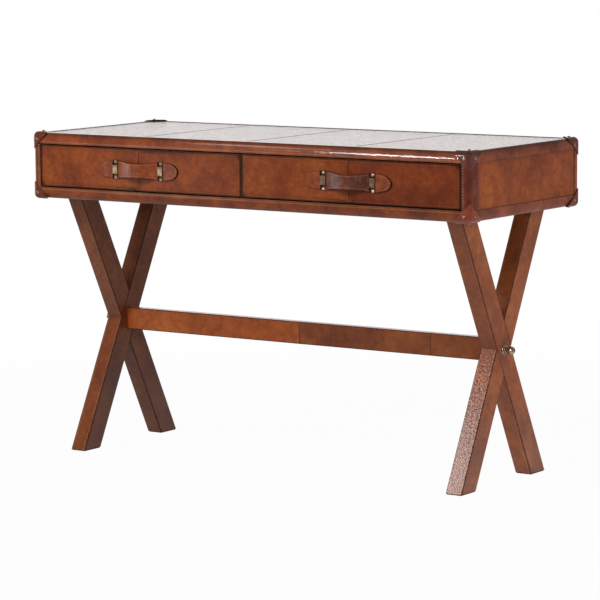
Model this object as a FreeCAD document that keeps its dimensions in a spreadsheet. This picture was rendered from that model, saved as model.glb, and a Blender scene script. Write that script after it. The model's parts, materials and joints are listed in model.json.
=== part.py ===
import FreeCAD, Part
import os
import Sketcher

# A campaign desk: a leather-covered case with two drawers, on two X-shaped leg frames.
# The front faces -Y and +Z is up. The origin is on the floor, below the middle of the desk.

SIZES = {
    # The case over its leather, and how high its underside is above the floor
    "case_length": 1205,
    "case_depth": 479,
    "case_height": 154,
    "case_underside": 611,
    # Visible widths of the leather strips round the case, and the roundness of its edges
    "rail_width": 25.5,
    "stile_width": 21,
    "strip_width": 20,
    "front_strip_wrap": 38,
    "strip_thickness": 2.5,
    "edge_radius": 10,
    # Leather panels between the strips
    "panel_leather": 1.5,
    "seam_gap": 0.6,
    # Boards inside the case
    "back_thickness": 12,
    "divider_thickness": 18,
    # Corner caps: reach along the edges, hollow of their outline, and thickness
    "cap_reach": 42,
    "cap_reach_depth": 52,
    "cap_hollow": 200,
    "cap_thickness": 2.5,
    # Dome nails in the caps, set in from the edges of the case
    "nail_inset": 14,
    "nail_inset_depth": 22,
    "nail_head": 8,
    "nail_dome": 2.4,
    "nail_shank": 2,
    "nail_length": 12,
    # Drawers: gaps round the fronts, boards and grooves
    "drawer_gap": 3,
    "drawer_middle_gap": 5,
    "drawer_setback": 1,
    "drawer_front_thickness": 18,
    "drawer_board": 12,
    "drawer_headroom": 8,
    "drawer_bottom_thickness": 6,
    "drawer_bottom_lift": 8,
    "drawer_groove": 6,
    "stop_length": 18,
    "stop_height": 25,
    "stop_gap": 0.3,
    "runner_setback": 30,
    "runner_width": 18,
    # Strap handles: outline, bow away from the drawer front, and necks under the keepers
    "strap_tongue": 42.5,
    "strap_height": 42,
    "strap_waist": 28,
    "strap_thickness": 4,
    "strap_tip_radius": 6,
    "strap_flat": 1.5,
    "handle_reach": 21,
    "neck_height": 16,
    "neck_play": 1,
    # Brass keepers over the necks, and their screws
    "keeper_spacing": 130,
    "keeper_width": 13,
    "keeper_foot": 15,
    "keeper_thickness": 2,
    "keeper_play": 0.5,
    "screw_head": 8.5,
    "screw_dome": 3.4,
    "screw_shank": 3.5,
    "screw_length": 15,
    # X frames: where they stand under the case, and the section of the legs
    "frame_inset": 54.5,
    "leg_inset": 56,
    "leg_width": 62,
    "leg_thickness": 41.5,
    "leg_edge_radius": 2,
    "pad_thickness": 2,
    "pad_inset": 2,
    # Bolts from inside the case into the tops of the legs
    "bolt_head": 18,
    "bolt_dome": 4.5,
    "bolt_shank": 8,
    "bolt_grip": 35,
    # Stretcher between the crossings and a little below their middle, with a stub tenon at each end
    "stretcher_drop": 5,
    "stretcher_height": 52.5,
    "stretcher_thickness": 22,
    "stretcher_edge_radius": 2,
    "tenon_length": 8,
    "tenon_height": 36,
    "tenon_thickness": 16,
    # Studs through the crossings, with cup washers and knobs outside
    "stud_diameter": 8,
    "stud_depth": 60,
    "stud_in_knob": 14,
    "washer_diameter": 24,
    "washer_thickness": 3,
    "washer_edge": 1.5,
    "knob_collar": 14,
    "knob_collar_length": 2.5,
    "knob_neck": 12,
    "knob_neck_length": 5,
    "knob_ball": 19,
    "knob_play": 0.6,
    # Holes are wider than the fasteners in them by this much
    "hole_play": 0.3,
}

doc = FreeCAD.newDocument("campaign_desk")
desk = doc.addObject("Spreadsheet::Sheet", "desk")
for row, (alias, size) in enumerate(SIZES.items(), start=1):
    desk.set(f"A{row}", alias)
    desk.set(f"B{row}", str(size))
    desk.setAlias(f"B{row}", alias)
doc.recompute()

# Planes of the case. The overall depth runs from the handles to the nails in the back caps,
# and its middle is at Y = 0.
HALF_LENGTH = "(desk.case_length / 2)"
HALF_DEPTH = "(desk.case_depth / 2)"
HALF_HEIGHT = "(desk.case_height / 2)"
BEHIND_CASE = "(desk.cap_thickness + desk.nail_dome)"
FRONT = f"((desk.handle_reach - desk.drawer_setback - {BEHIND_CASE} - desk.case_depth) / 2)"
BACK = f"({FRONT} + desk.case_depth)"
MIDDLE = f"({FRONT} + {HALF_DEPTH})"
UNDERSIDE = "desk.case_underside"
TOP = "(desk.case_underside + desk.case_height)"
MID_HEIGHT = f"(desk.case_underside + {HALF_HEIGHT})"

# The opening for the drawers, and the faces of the boards round it
OPENING_SIDE = f"({HALF_LENGTH} - desk.stile_width)"
OPENING_FLOOR = "(desk.case_underside + desk.rail_width)"
OPENING_ROOF = f"({TOP} - desk.rail_width)"
WOOD_UNDERSIDE = "(desk.case_underside + desk.strip_thickness)"
WOOD_BACK = f"({BACK} - desk.strip_thickness)"
BACK_BOARD = f"({WOOD_BACK} - desk.back_thickness)"

# Planes of a drawer, on the right of the centre line
FACE = f"({FRONT} + desk.drawer_setback)"
FRONT_BOARD = f"({FACE} + desk.panel_leather)"
BOX_START = f"({FRONT_BOARD} + desk.drawer_front_thickness)"
BOX_END = f"({BACK_BOARD} - desk.stop_length - desk.stop_gap)"
DRAWER_NEAR = "(desk.drawer_middle_gap / 2)"
DRAWER_FAR = f"({OPENING_SIDE} - desk.drawer_gap)"
DRAWER_MIDDLE = f"(({DRAWER_NEAR} + {DRAWER_FAR}) / 2)"
BOX_NEAR = "(desk.divider_thickness / 2 + desk.drawer_gap)"
DRAWER_FLOOR = f"({OPENING_FLOOR} + desk.drawer_gap)"
DRAWER_ROOF = f"({OPENING_ROOF} - desk.drawer_gap)"
SIDE_ROOF = f"({OPENING_ROOF} - desk.drawer_headroom)"
BOTTOM_LOW = f"({DRAWER_FLOOR} + desk.drawer_bottom_lift)"
BOTTOM_HIGH = f"({BOTTOM_LOW} + desk.drawer_bottom_thickness)"

# Places along a strap from its middle: the bow, then a keeper over a neck, then the tongue
BOW_END = "(desk.keeper_spacing / 2 - desk.keeper_width / 2 - desk.neck_play - desk.strap_flat)"
NECK_START = "(desk.keeper_spacing / 2 - desk.keeper_width / 2 - desk.neck_play)"
NECK_END = "(desk.keeper_spacing / 2 + desk.keeper_width / 2 + desk.neck_play)"
STRAP_END = f"({NECK_END} + desk.strap_tongue)"

# Heights on a keeper from the middle of its strap
KEEPER_INNER = "(desk.neck_height / 2 + desk.keeper_play)"
KEEPER_OUTER = f"({KEEPER_INNER} + desk.keeper_thickness)"
KEEPER_END = f"({KEEPER_OUTER} + desk.keeper_foot)"
SCREW_HEIGHT = f"(({KEEPER_OUTER} + {KEEPER_END}) / 2)"

# Planes of the leg frames, and the height of the stretcher, which the studs and knobs share
FRAME_OUTER = f"({HALF_LENGTH} - desk.frame_inset)"
FRAME_INNER = f"({FRAME_OUTER} - desk.leg_thickness)"
FRAME_CENTRE = f"({FRAME_OUTER} - desk.leg_thickness / 2)"
LEG_REACH = f"({HALF_DEPTH} - desk.leg_inset)"
LEG_CENTRE = f"({LEG_REACH} - desk.leg_width / 2)"
LEG_FOOT = "desk.pad_thickness"
CROSSING = f"(({WOOD_UNDERSIDE} + {LEG_FOOT}) / 2)"
STRETCHER_HEIGHT = f"({CROSSING} - desk.stretcher_drop)"

SIDES = {"left": -1, "right": 1}
UP = FreeCAD.Vector(0, 0, 1)
X_AXIS = FreeCAD.Vector(1, 0, 0)
Y_AXIS = FreeCAD.Vector(0, 1, 0)

# Points closer than this are the same point, and directions this close to each other are parallel.
SAME_POINT = 0.001
SAME_DIRECTION = 0.001

pieces = []


def number(text):
    """The value of an expression in millimetres."""
    return float(desk.evalExpression(text))


def keep(piece, label, solids=1):
    """Name a finished piece of the desk and note how many solids it has."""
    piece.Label = label
    pieces.append((piece, solids))
    return piece


def block(name, x, y, z):
    """A box between two planes on each axis, given as pairs of expressions."""
    box = doc.addObject("Part::Box", name)
    for size, axis, (low, high) in zip(("Length", "Width", "Height"), "xyz", (x, y, z)):
        box.setExpression(size, f"({high}) - ({low})")
        box.setExpression(f"Placement.Base.{axis}", low)
    return box


def rod(name, diameter, x):
    """A round bar along the middle of the stretcher, between two planes in X."""
    bar = doc.addObject("Part::Cylinder", name)
    bar.Placement.Rotation = FreeCAD.Rotation(UP, X_AXIS)
    bar.setExpression("Radius", f"({diameter}) / 2")
    bar.setExpression("Height", f"({x[1]}) - ({x[0]})")
    bar.setExpression("Placement.Base.x", x[0])
    bar.setExpression("Placement.Base.y", MIDDLE)
    bar.setExpression("Placement.Base.z", STRETCHER_HEIGHT)
    return bar


def boolean(kind, name, base, tool):
    result = doc.addObject(f"Part::{kind}", name)
    result.Base = base
    result.Tool = tool
    return result


def group(name, members):
    result = doc.addObject("Part::Compound", name)
    result.Links = members
    return result


def copies(name, source, placements):
    """One fastener's shape at each place, as separate solids of a single piece."""
    doc.recompute()
    shapes = []
    for placement in placements:
        shape = source.Shape.copy()
        shape.Placement = placement.multiply(source.Placement)
        shapes.append(shape)
    result = doc.addObject("Part::Feature", name)
    result.Shape = Part.makeCompound(shapes)
    return result


def mirrored(side, near, far):
    """Low and high X of something that runs from near to far on one side of the desk."""
    return (near, far) if side > 0 else (f"-({far})", f"-({near})")


def outline(body, role, corners):
    """A closed sketch on an origin plane of its body.

    Each corner is a pair of expressions. A third one makes the line to the next corner an arc of
    that radius: it turns left along the outline, or right where the expression starts with a minus.
    """
    sketch = body.newObject("Sketcher::SketchObject", f"{body.Name}_sketch")
    plane = next(item for item in body.Origin.OriginFeatures if item.Role == role)
    sketch.AttachmentSupport = [(plane, "")]
    sketch.MapMode = "FlatFace"
    points = [FreeCAD.Vector(number(corner[0]), number(corner[1]), 0) for corner in corners]
    starts, ends = [], []
    for index, corner in enumerate(corners):
        start, end = points[index], points[(index + 1) % len(points)]
        line = Part.LineSegment(start, end)
        if len(corner) > 2:
            radius = number(corner[2])
            half_chord = (end - start) * 0.5
            rise = abs(radius) - (radius ** 2 - half_chord.Length ** 2) ** 0.5
            right = FreeCAD.Vector(half_chord.y, -half_chord.x, 0).normalize()
            side = 1 if radius > 0 else -1
            line = Part.Arc(start, start + half_chord + right * (side * rise), end)
        sketch.addGeometry(line, False)
        forward = sketch.getPoint(index, 1).distanceToPoint(start) < SAME_POINT
        starts.append(1 if forward else 2)
        ends.append(2 if forward else 1)
    for index in range(len(corners)):
        after = (index + 1) % len(corners)
        sketch.addConstraint(Sketcher.Constraint("Coincident", index, ends[index], after, starts[after]))
    for index, corner in enumerate(corners):
        for kind, text in zip(("DistanceX", "DistanceY"), corner):
            place = Sketcher.Constraint(kind, -1, 1, index, starts[index], number(text))
            sketch.setExpression(f"Constraints[{sketch.addConstraint(place)}]", text)
        if len(corner) > 2:
            radius = Sketcher.Constraint("Radius", index, abs(number(corner[2])))
            sketch.setExpression(f"Constraints[{sketch.addConstraint(radius)}]", f"abs({corner[2]})")
    return sketch


def extruded(name, role, corners, length, centred=False):
    """A body made by pushing an outline straight out of its plane."""
    body = doc.addObject("PartDesign::Body", name)
    sketch = outline(body, role, corners)
    pad = body.newObject("PartDesign::Pad", f"{name}_pad")
    pad.Profile = sketch
    pad.Midplane = centred
    pad.setExpression("Length", length)
    doc.recompute()
    return body


def turned(name, corners):
    """A body of revolution about its own Z axis; corners are radius and height."""
    body = doc.addObject("PartDesign::Body", name)
    sketch = outline(body, "XZ_Plane", corners)
    revolution = body.newObject("PartDesign::Revolution", f"{name}_turn")
    revolution.Profile = sketch
    revolution.ReferenceAxis = (sketch, ["V_Axis"])
    revolution.Angle = 360
    doc.recompute()
    return body


def round_edges(body, radius, chosen):
    """Round the edges of a body's last feature that the given test picks out."""
    base = body.Tip
    names = [f"Edge{index}" for index, edge in enumerate(base.Shape.Edges, start=1) if chosen(edge)]
    fillet = body.newObject("PartDesign::Fillet", f"{body.Name}_rounding")
    fillet.Base = (base, names)
    fillet.setExpression("Radius", radius)
    doc.recompute()


def along(axis):
    """A test for straight edges that are parallel to an axis."""
    return lambda edge: abs(edge.tangentAt(edge.FirstParameter).dot(axis)) > 1 - SAME_DIRECTION


def round_head(name, head, dome, shank, length):
    """A domed fastener whose head sits on Z = 0 and whose shank points down."""
    sphere = f"((({head}) / 2)^2 + ({dome})^2) / (2 * ({dome}))"
    return turned(name, [
        ("0", f"-({length})"),
        (f"({shank}) / 2", f"-({length})"),
        (f"({shank}) / 2", "0"),
        (f"({head}) / 2", "0", sphere),
        ("0", dome),
    ])


def drill(name, diameter, above, below):
    """A tool that bores a hole from above Z = 0 to below it."""
    tool = doc.addObject("Part::Cylinder", name)
    tool.setExpression("Radius", f"({diameter} + desk.hole_play) / 2")
    tool.setExpression("Height", f"({above}) + ({below})")
    tool.setExpression("Placement.Base.z", f"-({below})")
    return tool


def rounded_case(name, grow):
    """The case as a box with round edges, grown or shrunk on every face."""
    body = doc.addObject("PartDesign::Body", name)
    box = body.newObject("PartDesign::AdditiveBox", f"{name}_box")
    for size, case_size in (("Length", "case_length"), ("Width", "case_depth"), ("Height", "case_height")):
        box.setExpression(size, f"desk.{case_size} + 2 * ({grow})")
    doc.recompute()
    fillet = body.newObject("PartDesign::Fillet", f"{name}_rounding")
    fillet.Base = (box, [""])
    fillet.UseAllEdges = True
    fillet.setExpression("Radius", f"desk.edge_radius + ({grow})")
    body.setExpression("Placement.Base.x", f"-{HALF_LENGTH} - ({grow})")
    body.setExpression("Placement.Base.y", f"{FRONT} - ({grow})")
    body.setExpression("Placement.Base.z", f"{UNDERSIDE} - ({grow})")
    return body


def nail_placements():
    """Three nails in each corner cap, one on each face, with the dome outwards."""
    middle = FreeCAD.Vector(0, number(MIDDLE), number(MID_HEIGHT))
    half = FreeCAD.Vector(number(HALF_LENGTH), number(HALF_DEPTH), number(HALF_HEIGHT))
    inset = FreeCAD.Vector(desk.nail_inset, desk.nail_inset_depth, desk.nail_inset)
    placements = []
    for signs in [(x, y, z) for x in (-1, 1) for y in (-1, 1) for z in (-1, 1)]:
        for face in range(3):
            spot = FreeCAD.Vector(middle)
            for axis in range(3):
                out = half[axis] + desk.cap_thickness if axis == face else half[axis] - inset[axis]
                spot[axis] += signs[axis] * out
            outward = FreeCAD.Vector()
            outward[face] = signs[face]
            placements.append(FreeCAD.Placement(spot, FreeCAD.Rotation(UP, outward)))
    return placements


def make_nails():
    """The dome nails, and the tool that bores their holes."""
    nail = round_head("nail", "desk.nail_head", "desk.nail_dome", "desk.nail_shank", "desk.nail_length")
    bore = drill("nail_drill", "desk.nail_shank", "desk.nail_dome", "desk.nail_length")
    nails = copies("nails", nail, nail_placements())
    keep(nails, "corner_nails", solids=len(nails.Shape.Solids))
    return copies("nail_holes", bore, nail_placements())


def bolt_placements():
    """One bolt straight down into the top of each leg, with its head on the case floor."""
    placements = []
    for side in SIDES.values():
        for depth in (-1, 1):
            spot = FreeCAD.Vector(
                side * number(FRAME_CENTRE),
                number(MIDDLE) + depth * number(LEG_CENTRE),
                number(OPENING_FLOOR),
            )
            placements.append(FreeCAD.Placement(spot, FreeCAD.Rotation()))
    return placements


def make_leg_bolts():
    """The bolts that hold the legs to the case, and the tool that bores their holes."""
    length = "desk.rail_width - desk.strip_thickness + desk.bolt_grip"
    bolt = round_head("bolt", "desk.bolt_head", "desk.bolt_dome", "desk.bolt_shank", length)
    bore = drill("bolt_drill", "desk.bolt_shank", "desk.bolt_dome", length)
    bolts = copies("bolts", bolt, bolt_placements())
    keep(bolts, "leg_bolts", solids=len(bolts.Shape.Solids))
    return copies("bolt_holes", bore, bolt_placements())


def make_boards(core, nail_holes, bolt_holes):
    """The wooden box: round-edged boards cut from one core, a back and a partition."""
    whole_x = (f"-{HALF_LENGTH}", HALF_LENGTH)
    whole_y = (FRONT, BACK)
    top = boolean("Common", "top_raw", core, block("top_slab", whole_x, whole_y, (OPENING_ROOF, TOP)))
    keep(boolean("Cut", "top_board", top, nail_holes), "case_top_board")

    slab = block("bottom_slab", whole_x, whole_y, (UNDERSIDE, OPENING_FLOOR))
    bottom = boolean("Common", "bottom_raw", core, slab)
    bottom_holes = group("bottom_holes", [nail_holes, bolt_holes])
    keep(boolean("Cut", "bottom_board", bottom, bottom_holes), "case_bottom_board")

    between = (OPENING_FLOOR, OPENING_ROOF)
    for name, side in SIDES.items():
        slab = block(f"{name}_end_slab", mirrored(side, OPENING_SIDE, HALF_LENGTH), whole_y, between)
        keep(boolean("Common", f"{name}_end_board", core, slab), f"case_{name}_end_board")

    inside = (f"-{OPENING_SIDE}", OPENING_SIDE)
    keep(block("back_board", inside, (BACK_BOARD, WOOD_BACK), between), "case_back_board")

    thickness = ("-desk.divider_thickness / 2", "desk.divider_thickness / 2")
    depth = (f"{FRONT} + desk.runner_setback", BACK_BOARD)
    keep(block("divider", thickness, depth, between), "case_divider")


def make_panel_leather():
    """The leather panels between the edge strips."""
    low_y = f"({FRONT} + desk.strip_width)"
    high_y = f"({BACK} - desk.strip_width)"
    sheet = (f"{TOP} - desk.strip_thickness", f"{TOP} - desk.strip_thickness + desk.panel_leather")
    half = f"({HALF_LENGTH} - desk.strip_width)"
    gap = "desk.seam_gap / 2"
    panels = []
    for name, side in SIDES.items():
        inner = mirrored(side, gap, f"{half} / 2 - {gap}")
        outer = mirrored(side, f"{half} / 2 + {gap}", half)
        panels.append(block(f"{name}_inner_panel", inner, (low_y, high_y), sheet))
        panels.append(block(f"{name}_outer_panel", outer, (low_y, high_y), sheet))
    keep(group("top_panels", panels), "top_leather_panels", solids=len(panels))

    between = (OPENING_FLOOR, OPENING_ROOF)
    wood_end = f"({HALF_LENGTH} - desk.strip_thickness)"
    end_y = (f"{FRONT} + desk.front_strip_wrap", high_y)
    for name, side in SIDES.items():
        sheet = mirrored(side, wood_end, f"{wood_end} + desk.panel_leather")
        keep(block(f"{name}_end_panel", sheet, end_y, between), f"{name}_end_leather")

    back_x = (f"-{half}", half)
    back_y = (WOOD_BACK, f"{WOOD_BACK} + desk.panel_leather")
    keep(block("back_panel", back_x, back_y, between), "back_leather")


def make_edge_strips(core, case, nail_holes):
    """Leather strips folded round the twelve edges: a thin shell of the case, cut at butt joints."""
    shell = boolean("Cut", "strip_shell", case, core)
    whole_x = (f"-{HALF_LENGTH}", HALF_LENGTH)
    front_y = (FRONT, f"{FRONT} + desk.strip_width")
    back_y = (f"{BACK} - desk.strip_width", BACK)
    inner_y = (front_y[1], back_y[0])
    levels = {"top": (OPENING_ROOF, TOP), "bottom": (UNDERSIDE, OPENING_FLOOR)}
    for level, z in levels.items():
        blocks = {
            "front": block(f"{level}_front_zone", whole_x, front_y, z),
            "back": block(f"{level}_back_zone", whole_x, back_y, z),
        }
        for name, side in SIDES.items():
            x = mirrored(side, f"{HALF_LENGTH} - desk.strip_width", HALF_LENGTH)
            blocks[name] = block(f"{level}_{name}_zone", x, inner_y, z)
        for edge, zone in blocks.items():
            strip = boolean("Common", f"{level}_{edge}_raw", shell, zone)
            nailed = boolean("Cut", f"{level}_{edge}_strip", strip, nail_holes)
            keep(nailed, f"edge_strip_{level}_{edge}")

    between = (OPENING_FLOOR, OPENING_ROOF)
    corners = {"front": (FRONT, f"{FRONT} + desk.front_strip_wrap"), "back": back_y}
    for name, side in SIDES.items():
        for edge, y in corners.items():
            width = "desk.stile_width" if edge == "front" else "desk.strip_width"
            x = mirrored(side, f"{HALF_LENGTH} - {width}", HALF_LENGTH)
            zone = block(f"{edge}_{name}_zone", x, y, between)
            keep(boolean("Common", f"{edge}_{name}_strip", shell, zone), f"edge_strip_{edge}_{name}")


def make_corner_caps(case, nail_holes):
    """Corner caps: a shell over the strips, whose outline on each face is a shallow hollow arc."""
    grown = rounded_case("cap_case", "desk.cap_thickness")
    shell = boolean("Cut", "cap_shell", grown, case)
    # A ball that passes through the three points where the outline crosses the edges
    power = "(2 * desk.cap_hollow * desk.cap_reach - desk.cap_reach^2)"
    centre = {
        "x": "desk.cap_hollow",
        "y": f"(({power} + desk.cap_reach_depth^2) / (2 * desk.cap_reach_depth))",
        "z": "desk.cap_hollow",
    }
    radius = f"sqrt((desk.cap_hollow - desk.cap_reach)^2 + {centre['y']}^2 + desk.cap_hollow^2)"
    half = {"x": HALF_LENGTH, "y": HALF_DEPTH, "z": HALF_HEIGHT}
    middle = {"x": "0", "y": MIDDLE, "z": MID_HEIGHT}
    reach = {"x": "desk.cap_reach", "y": "desk.cap_reach_depth", "z": "desk.cap_reach"}
    # The zone of each cap starts well inside its outline and ends outside its shell.
    past_outline = 1.5
    outside = "2 * desk.cap_thickness"
    for level, z_sign in (("top", 1), ("bottom", -1)):
        for edge, y_sign in (("front", -1), ("back", 1)):
            for name, x_sign in SIDES.items():
                label = f"{level}_{edge}_{name}"
                ball = doc.addObject("Part::Sphere", f"{label}_ball")
                ball.setExpression("Radius", radius)
                spans = {}
                for axis, sign in (("x", x_sign), ("y", y_sign), ("z", z_sign)):
                    inner = f"{half[axis]} - {past_outline} * {reach[axis]}"
                    low, high = mirrored(sign, inner, f"{half[axis]} + {outside}")
                    spans[axis] = (f"{middle[axis]} + ({low})", f"{middle[axis]} + ({high})")
                    place = f"{middle[axis]} + ({sign}) * ({half[axis]} - {centre[axis]})"
                    ball.setExpression(f"Placement.Base.{axis}", place)
                corner = block(f"{label}_corner", spans["x"], spans["y"], spans["z"])
                zone = boolean("Cut", f"{label}_zone", corner, ball)
                cap = boolean("Common", f"{label}_cap", shell, zone)
                keep(boolean("Cut", f"{label}_nailed", cap, nail_holes), f"corner_cap_{label}")


def make_runners_and_stops():
    """Runners under the drawer sides, and stop blocks behind them."""
    runner_y = (f"{FRONT} + desk.runner_setback", BACK_BOARD)
    runner_z = (OPENING_FLOOR, DRAWER_FLOOR)
    stop_y = (f"{BACK_BOARD} - desk.stop_length", BACK_BOARD)
    stop_z = (DRAWER_FLOOR, f"{DRAWER_FLOOR} + desk.stop_height")
    runners, stops = [], []
    for name, side in SIDES.items():
        near = "desk.divider_thickness / 2"
        inner = mirrored(side, near, f"{near} + desk.runner_width")
        outer = mirrored(side, f"{OPENING_SIDE} - desk.runner_width", OPENING_SIDE)
        for edge, x in (("inner", inner), ("outer", outer)):
            runners.append(block(f"{name}_{edge}_runner", x, runner_y, runner_z))
            stops.append(block(f"{name}_{edge}_stop", x, stop_y, stop_z))
    keep(group("runners", runners), "drawer_runners", solids=len(runners))
    keep(group("stops", stops), "drawer_stops", solids=len(stops))


def screw_placements(side):
    """Two screws above each other at each keeper of one handle, heads towards the front."""
    outward = FreeCAD.Rotation(UP, -Y_AXIS)
    placements = []
    for across in (-1, 1):
        for up in (-1, 1):
            spot = FreeCAD.Vector(
                side * number(DRAWER_MIDDLE) + across * desk.keeper_spacing / 2,
                number(FACE) - desk.keeper_thickness,
                number(MID_HEIGHT) + up * number(SCREW_HEIGHT),
            )
            placements.append(FreeCAD.Placement(spot, outward))
    return placements


def make_strap(name, side):
    """A leather strap with tongue ends, a waist, and necks where the keepers hold it."""
    half = "(desk.strap_height / 2)"
    neck = "(desk.neck_height / 2)"
    dip = "((desk.strap_height - desk.strap_waist) / 2)"
    waist = f"({NECK_START}^2 + {dip}^2) / (2 * {dip})"
    tongue = f"(desk.strap_tongue^2 + {half}^2) / (2 * {half})"
    shape = extruded(f"{name}_strap_outline", "XZ_Plane", [
        (f"-{NECK_START}", half, waist),
        (NECK_START, half),
        (NECK_START, neck),
        (NECK_END, neck),
        (NECK_END, half, f"-{tongue}"),
        (STRAP_END, "0", f"-{tongue}"),
        (NECK_END, f"-{half}"),
        (NECK_END, f"-{neck}"),
        (NECK_START, f"-{neck}"),
        (NECK_START, f"-{half}", waist),
        (f"-{NECK_START}", f"-{half}"),
        (f"-{NECK_START}", f"-{neck}"),
        (f"-{NECK_END}", f"-{neck}"),
        (f"-{NECK_END}", f"-{half}", f"-{tongue}"),
        (f"-{STRAP_END}", "0", f"-{tongue}"),
        (f"-{NECK_END}", half),
        (f"-{NECK_END}", neck),
        (f"-{NECK_START}", neck),
    ], "4 * desk.handle_reach", centred=True)

    def at_tip(edge):
        off_tip = abs(abs(edge.CenterOfMass.x) - number(STRAP_END))
        return along(Y_AXIS)(edge) and off_tip < SAME_POINT

    round_edges(shape, "desk.strap_tip_radius", at_tip)

    # Seen from above, the strap lies flat at its ends and bows out between them in three arcs.
    rise = "(desk.handle_reach - desk.strap_thickness)"
    bow = f"(({BOW_END}^2 + {rise}^2) / (4 * {rise}))"
    turn_x = f"({BOW_END} / 2)"
    turn_y = f"({rise} / 2)"
    skin = "desk.strap_thickness"
    outer_x = f"({BOW_END} - ({bow} - {skin}) * {BOW_END} / (2 * {bow}))"
    outer_y = f"({bow} - ({bow} - {skin}) * (2 * {bow} - {rise}) / (2 * {bow}))"
    band = extruded(f"{name}_strap_band", "XY_Plane", [
        (f"-{STRAP_END}", "0"),
        (f"-{BOW_END}", "0", f"-{bow}"),
        (f"-{turn_x}", f"-{turn_y}", bow),
        (turn_x, f"-{turn_y}", f"-{bow}"),
        (BOW_END, "0"),
        (STRAP_END, "0"),
        (STRAP_END, f"-{skin}"),
        (BOW_END, f"-{skin}", f"({bow} - {skin})"),
        (outer_x, f"-{outer_y}", f"-({bow} + {skin})"),
        (f"-{outer_x}", f"-{outer_y}", f"({bow} - {skin})"),
        (f"-{BOW_END}", f"-{skin}"),
        (f"-{STRAP_END}", f"-{skin}"),
    ], "2 * desk.strap_height", centred=True)
    for body in (shape, band):
        body.setExpression("Placement.Base.x", f"({side}) * {DRAWER_MIDDLE}")
        body.setExpression("Placement.Base.y", FACE)
        body.setExpression("Placement.Base.z", MID_HEIGHT)
    keep(boolean("Common", f"{name}_strap", shape, band), f"{name}_handle_strap")


def make_keepers(name, side, screw_holes):
    """Two brass bridges over the necks of the strap, with a foot for each screw."""
    metal = "desk.keeper_thickness"
    under = "(desk.strap_thickness + desk.keeper_play)"
    over = f"({under} + {metal})"
    keeper = extruded(f"{name}_keeper", "YZ_Plane", [
        ("0", f"-{KEEPER_END}"),
        ("0", f"-{KEEPER_INNER}"),
        (f"-{under}", f"-{KEEPER_INNER}"),
        (f"-{under}", KEEPER_INNER),
        ("0", KEEPER_INNER),
        ("0", KEEPER_END),
        (f"-{metal}", KEEPER_END),
        (f"-{metal}", KEEPER_OUTER),
        (f"-{over}", KEEPER_OUTER),
        (f"-{over}", f"-{KEEPER_OUTER}"),
        (f"-{metal}", f"-{KEEPER_OUTER}"),
        (f"-{metal}", f"-{KEEPER_END}"),
    ], "desk.keeper_width", centred=True)
    placements = []
    for across in (-1, 1):
        x = side * number(DRAWER_MIDDLE) + across * desk.keeper_spacing / 2
        spot = FreeCAD.Vector(x, number(FACE), number(MID_HEIGHT))
        placements.append(FreeCAD.Placement(spot, FreeCAD.Rotation()))
    pair = copies(f"{name}_keeper_pair", keeper, placements)
    keep(boolean("Cut", f"{name}_keepers", pair, screw_holes), f"{name}_handle_keepers", solids=2)


def make_drawer(name, side):
    """One drawer: boards with a grooved-in bottom, leather on the front, and its handle."""
    length = "desk.screw_length"
    screw = round_head(f"{name}_screw", "desk.screw_head", "desk.screw_dome", "desk.screw_shank", length)
    bore = drill(f"{name}_screw_drill", "desk.screw_shank", "desk.screw_dome", length)
    screws = copies(f"{name}_screws", screw, screw_placements(side))
    screw_holes = copies(f"{name}_screw_holes", bore, screw_placements(side))
    keep(screws, f"{name}_handle_screws", solids=4)
    make_strap(name, side)
    make_keepers(name, side, screw_holes)

    front_z = (DRAWER_FLOOR, DRAWER_ROOF)
    front_x = mirrored(side, DRAWER_NEAR, DRAWER_FAR)
    seam = "desk.seam_gap / 2"
    leather_y = (FACE, FRONT_BOARD)
    near_half = mirrored(side, DRAWER_NEAR, f"{DRAWER_MIDDLE} - {seam}")
    far_half = mirrored(side, f"{DRAWER_MIDDLE} + {seam}", DRAWER_FAR)
    halves = [
        block(f"{name}_near_half", near_half, leather_y, front_z),
        block(f"{name}_far_half", far_half, leather_y, front_z),
    ]
    leather = boolean("Cut", f"{name}_leather", group(f"{name}_halves", halves), screw_holes)
    keep(leather, f"{name}_drawer_leather", solids=2)

    # The bottom slides in grooves in the front and the sides, and passes under the back.
    bottom_near = f"({BOX_NEAR} + desk.drawer_board - desk.drawer_groove)"
    bottom_far = f"({DRAWER_FAR} - desk.drawer_board + desk.drawer_groove)"
    bottom_x = mirrored(side, bottom_near, bottom_far)
    bottom_y = (f"{BOX_START} - desk.drawer_groove", BOX_END)
    bottom = block(f"{name}_bottom", bottom_x, bottom_y, (BOTTOM_LOW, BOTTOM_HIGH))
    keep(bottom, f"{name}_drawer_bottom")

    front = block(f"{name}_front_raw", front_x, (FRONT_BOARD, BOX_START), front_z)
    front_cuts = group(f"{name}_front_cuts", [bottom, screw_holes])
    keep(boolean("Cut", f"{name}_front", front, front_cuts), f"{name}_drawer_front")

    side_y = (BOX_START, BOX_END)
    side_z = (DRAWER_FLOOR, SIDE_ROOF)
    near_side = mirrored(side, BOX_NEAR, f"{BOX_NEAR} + desk.drawer_board")
    far_side = mirrored(side, f"{DRAWER_FAR} - desk.drawer_board", DRAWER_FAR)
    boards = [
        block(f"{name}_near_side", near_side, side_y, side_z),
        block(f"{name}_far_side", far_side, side_y, side_z),
    ]
    sides = boolean("Cut", f"{name}_sides", group(f"{name}_side_boards", boards), bottom)
    keep(sides, f"{name}_drawer_sides", solids=2)

    back_x = mirrored(side, f"{BOX_NEAR} + desk.drawer_board", f"{DRAWER_FAR} - desk.drawer_board")
    back_y = (f"{BOX_END} - desk.drawer_board", BOX_END)
    keep(block(f"{name}_back", back_x, back_y, (BOTTOM_HIGH, SIDE_ROOF)), f"{name}_drawer_back")


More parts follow.
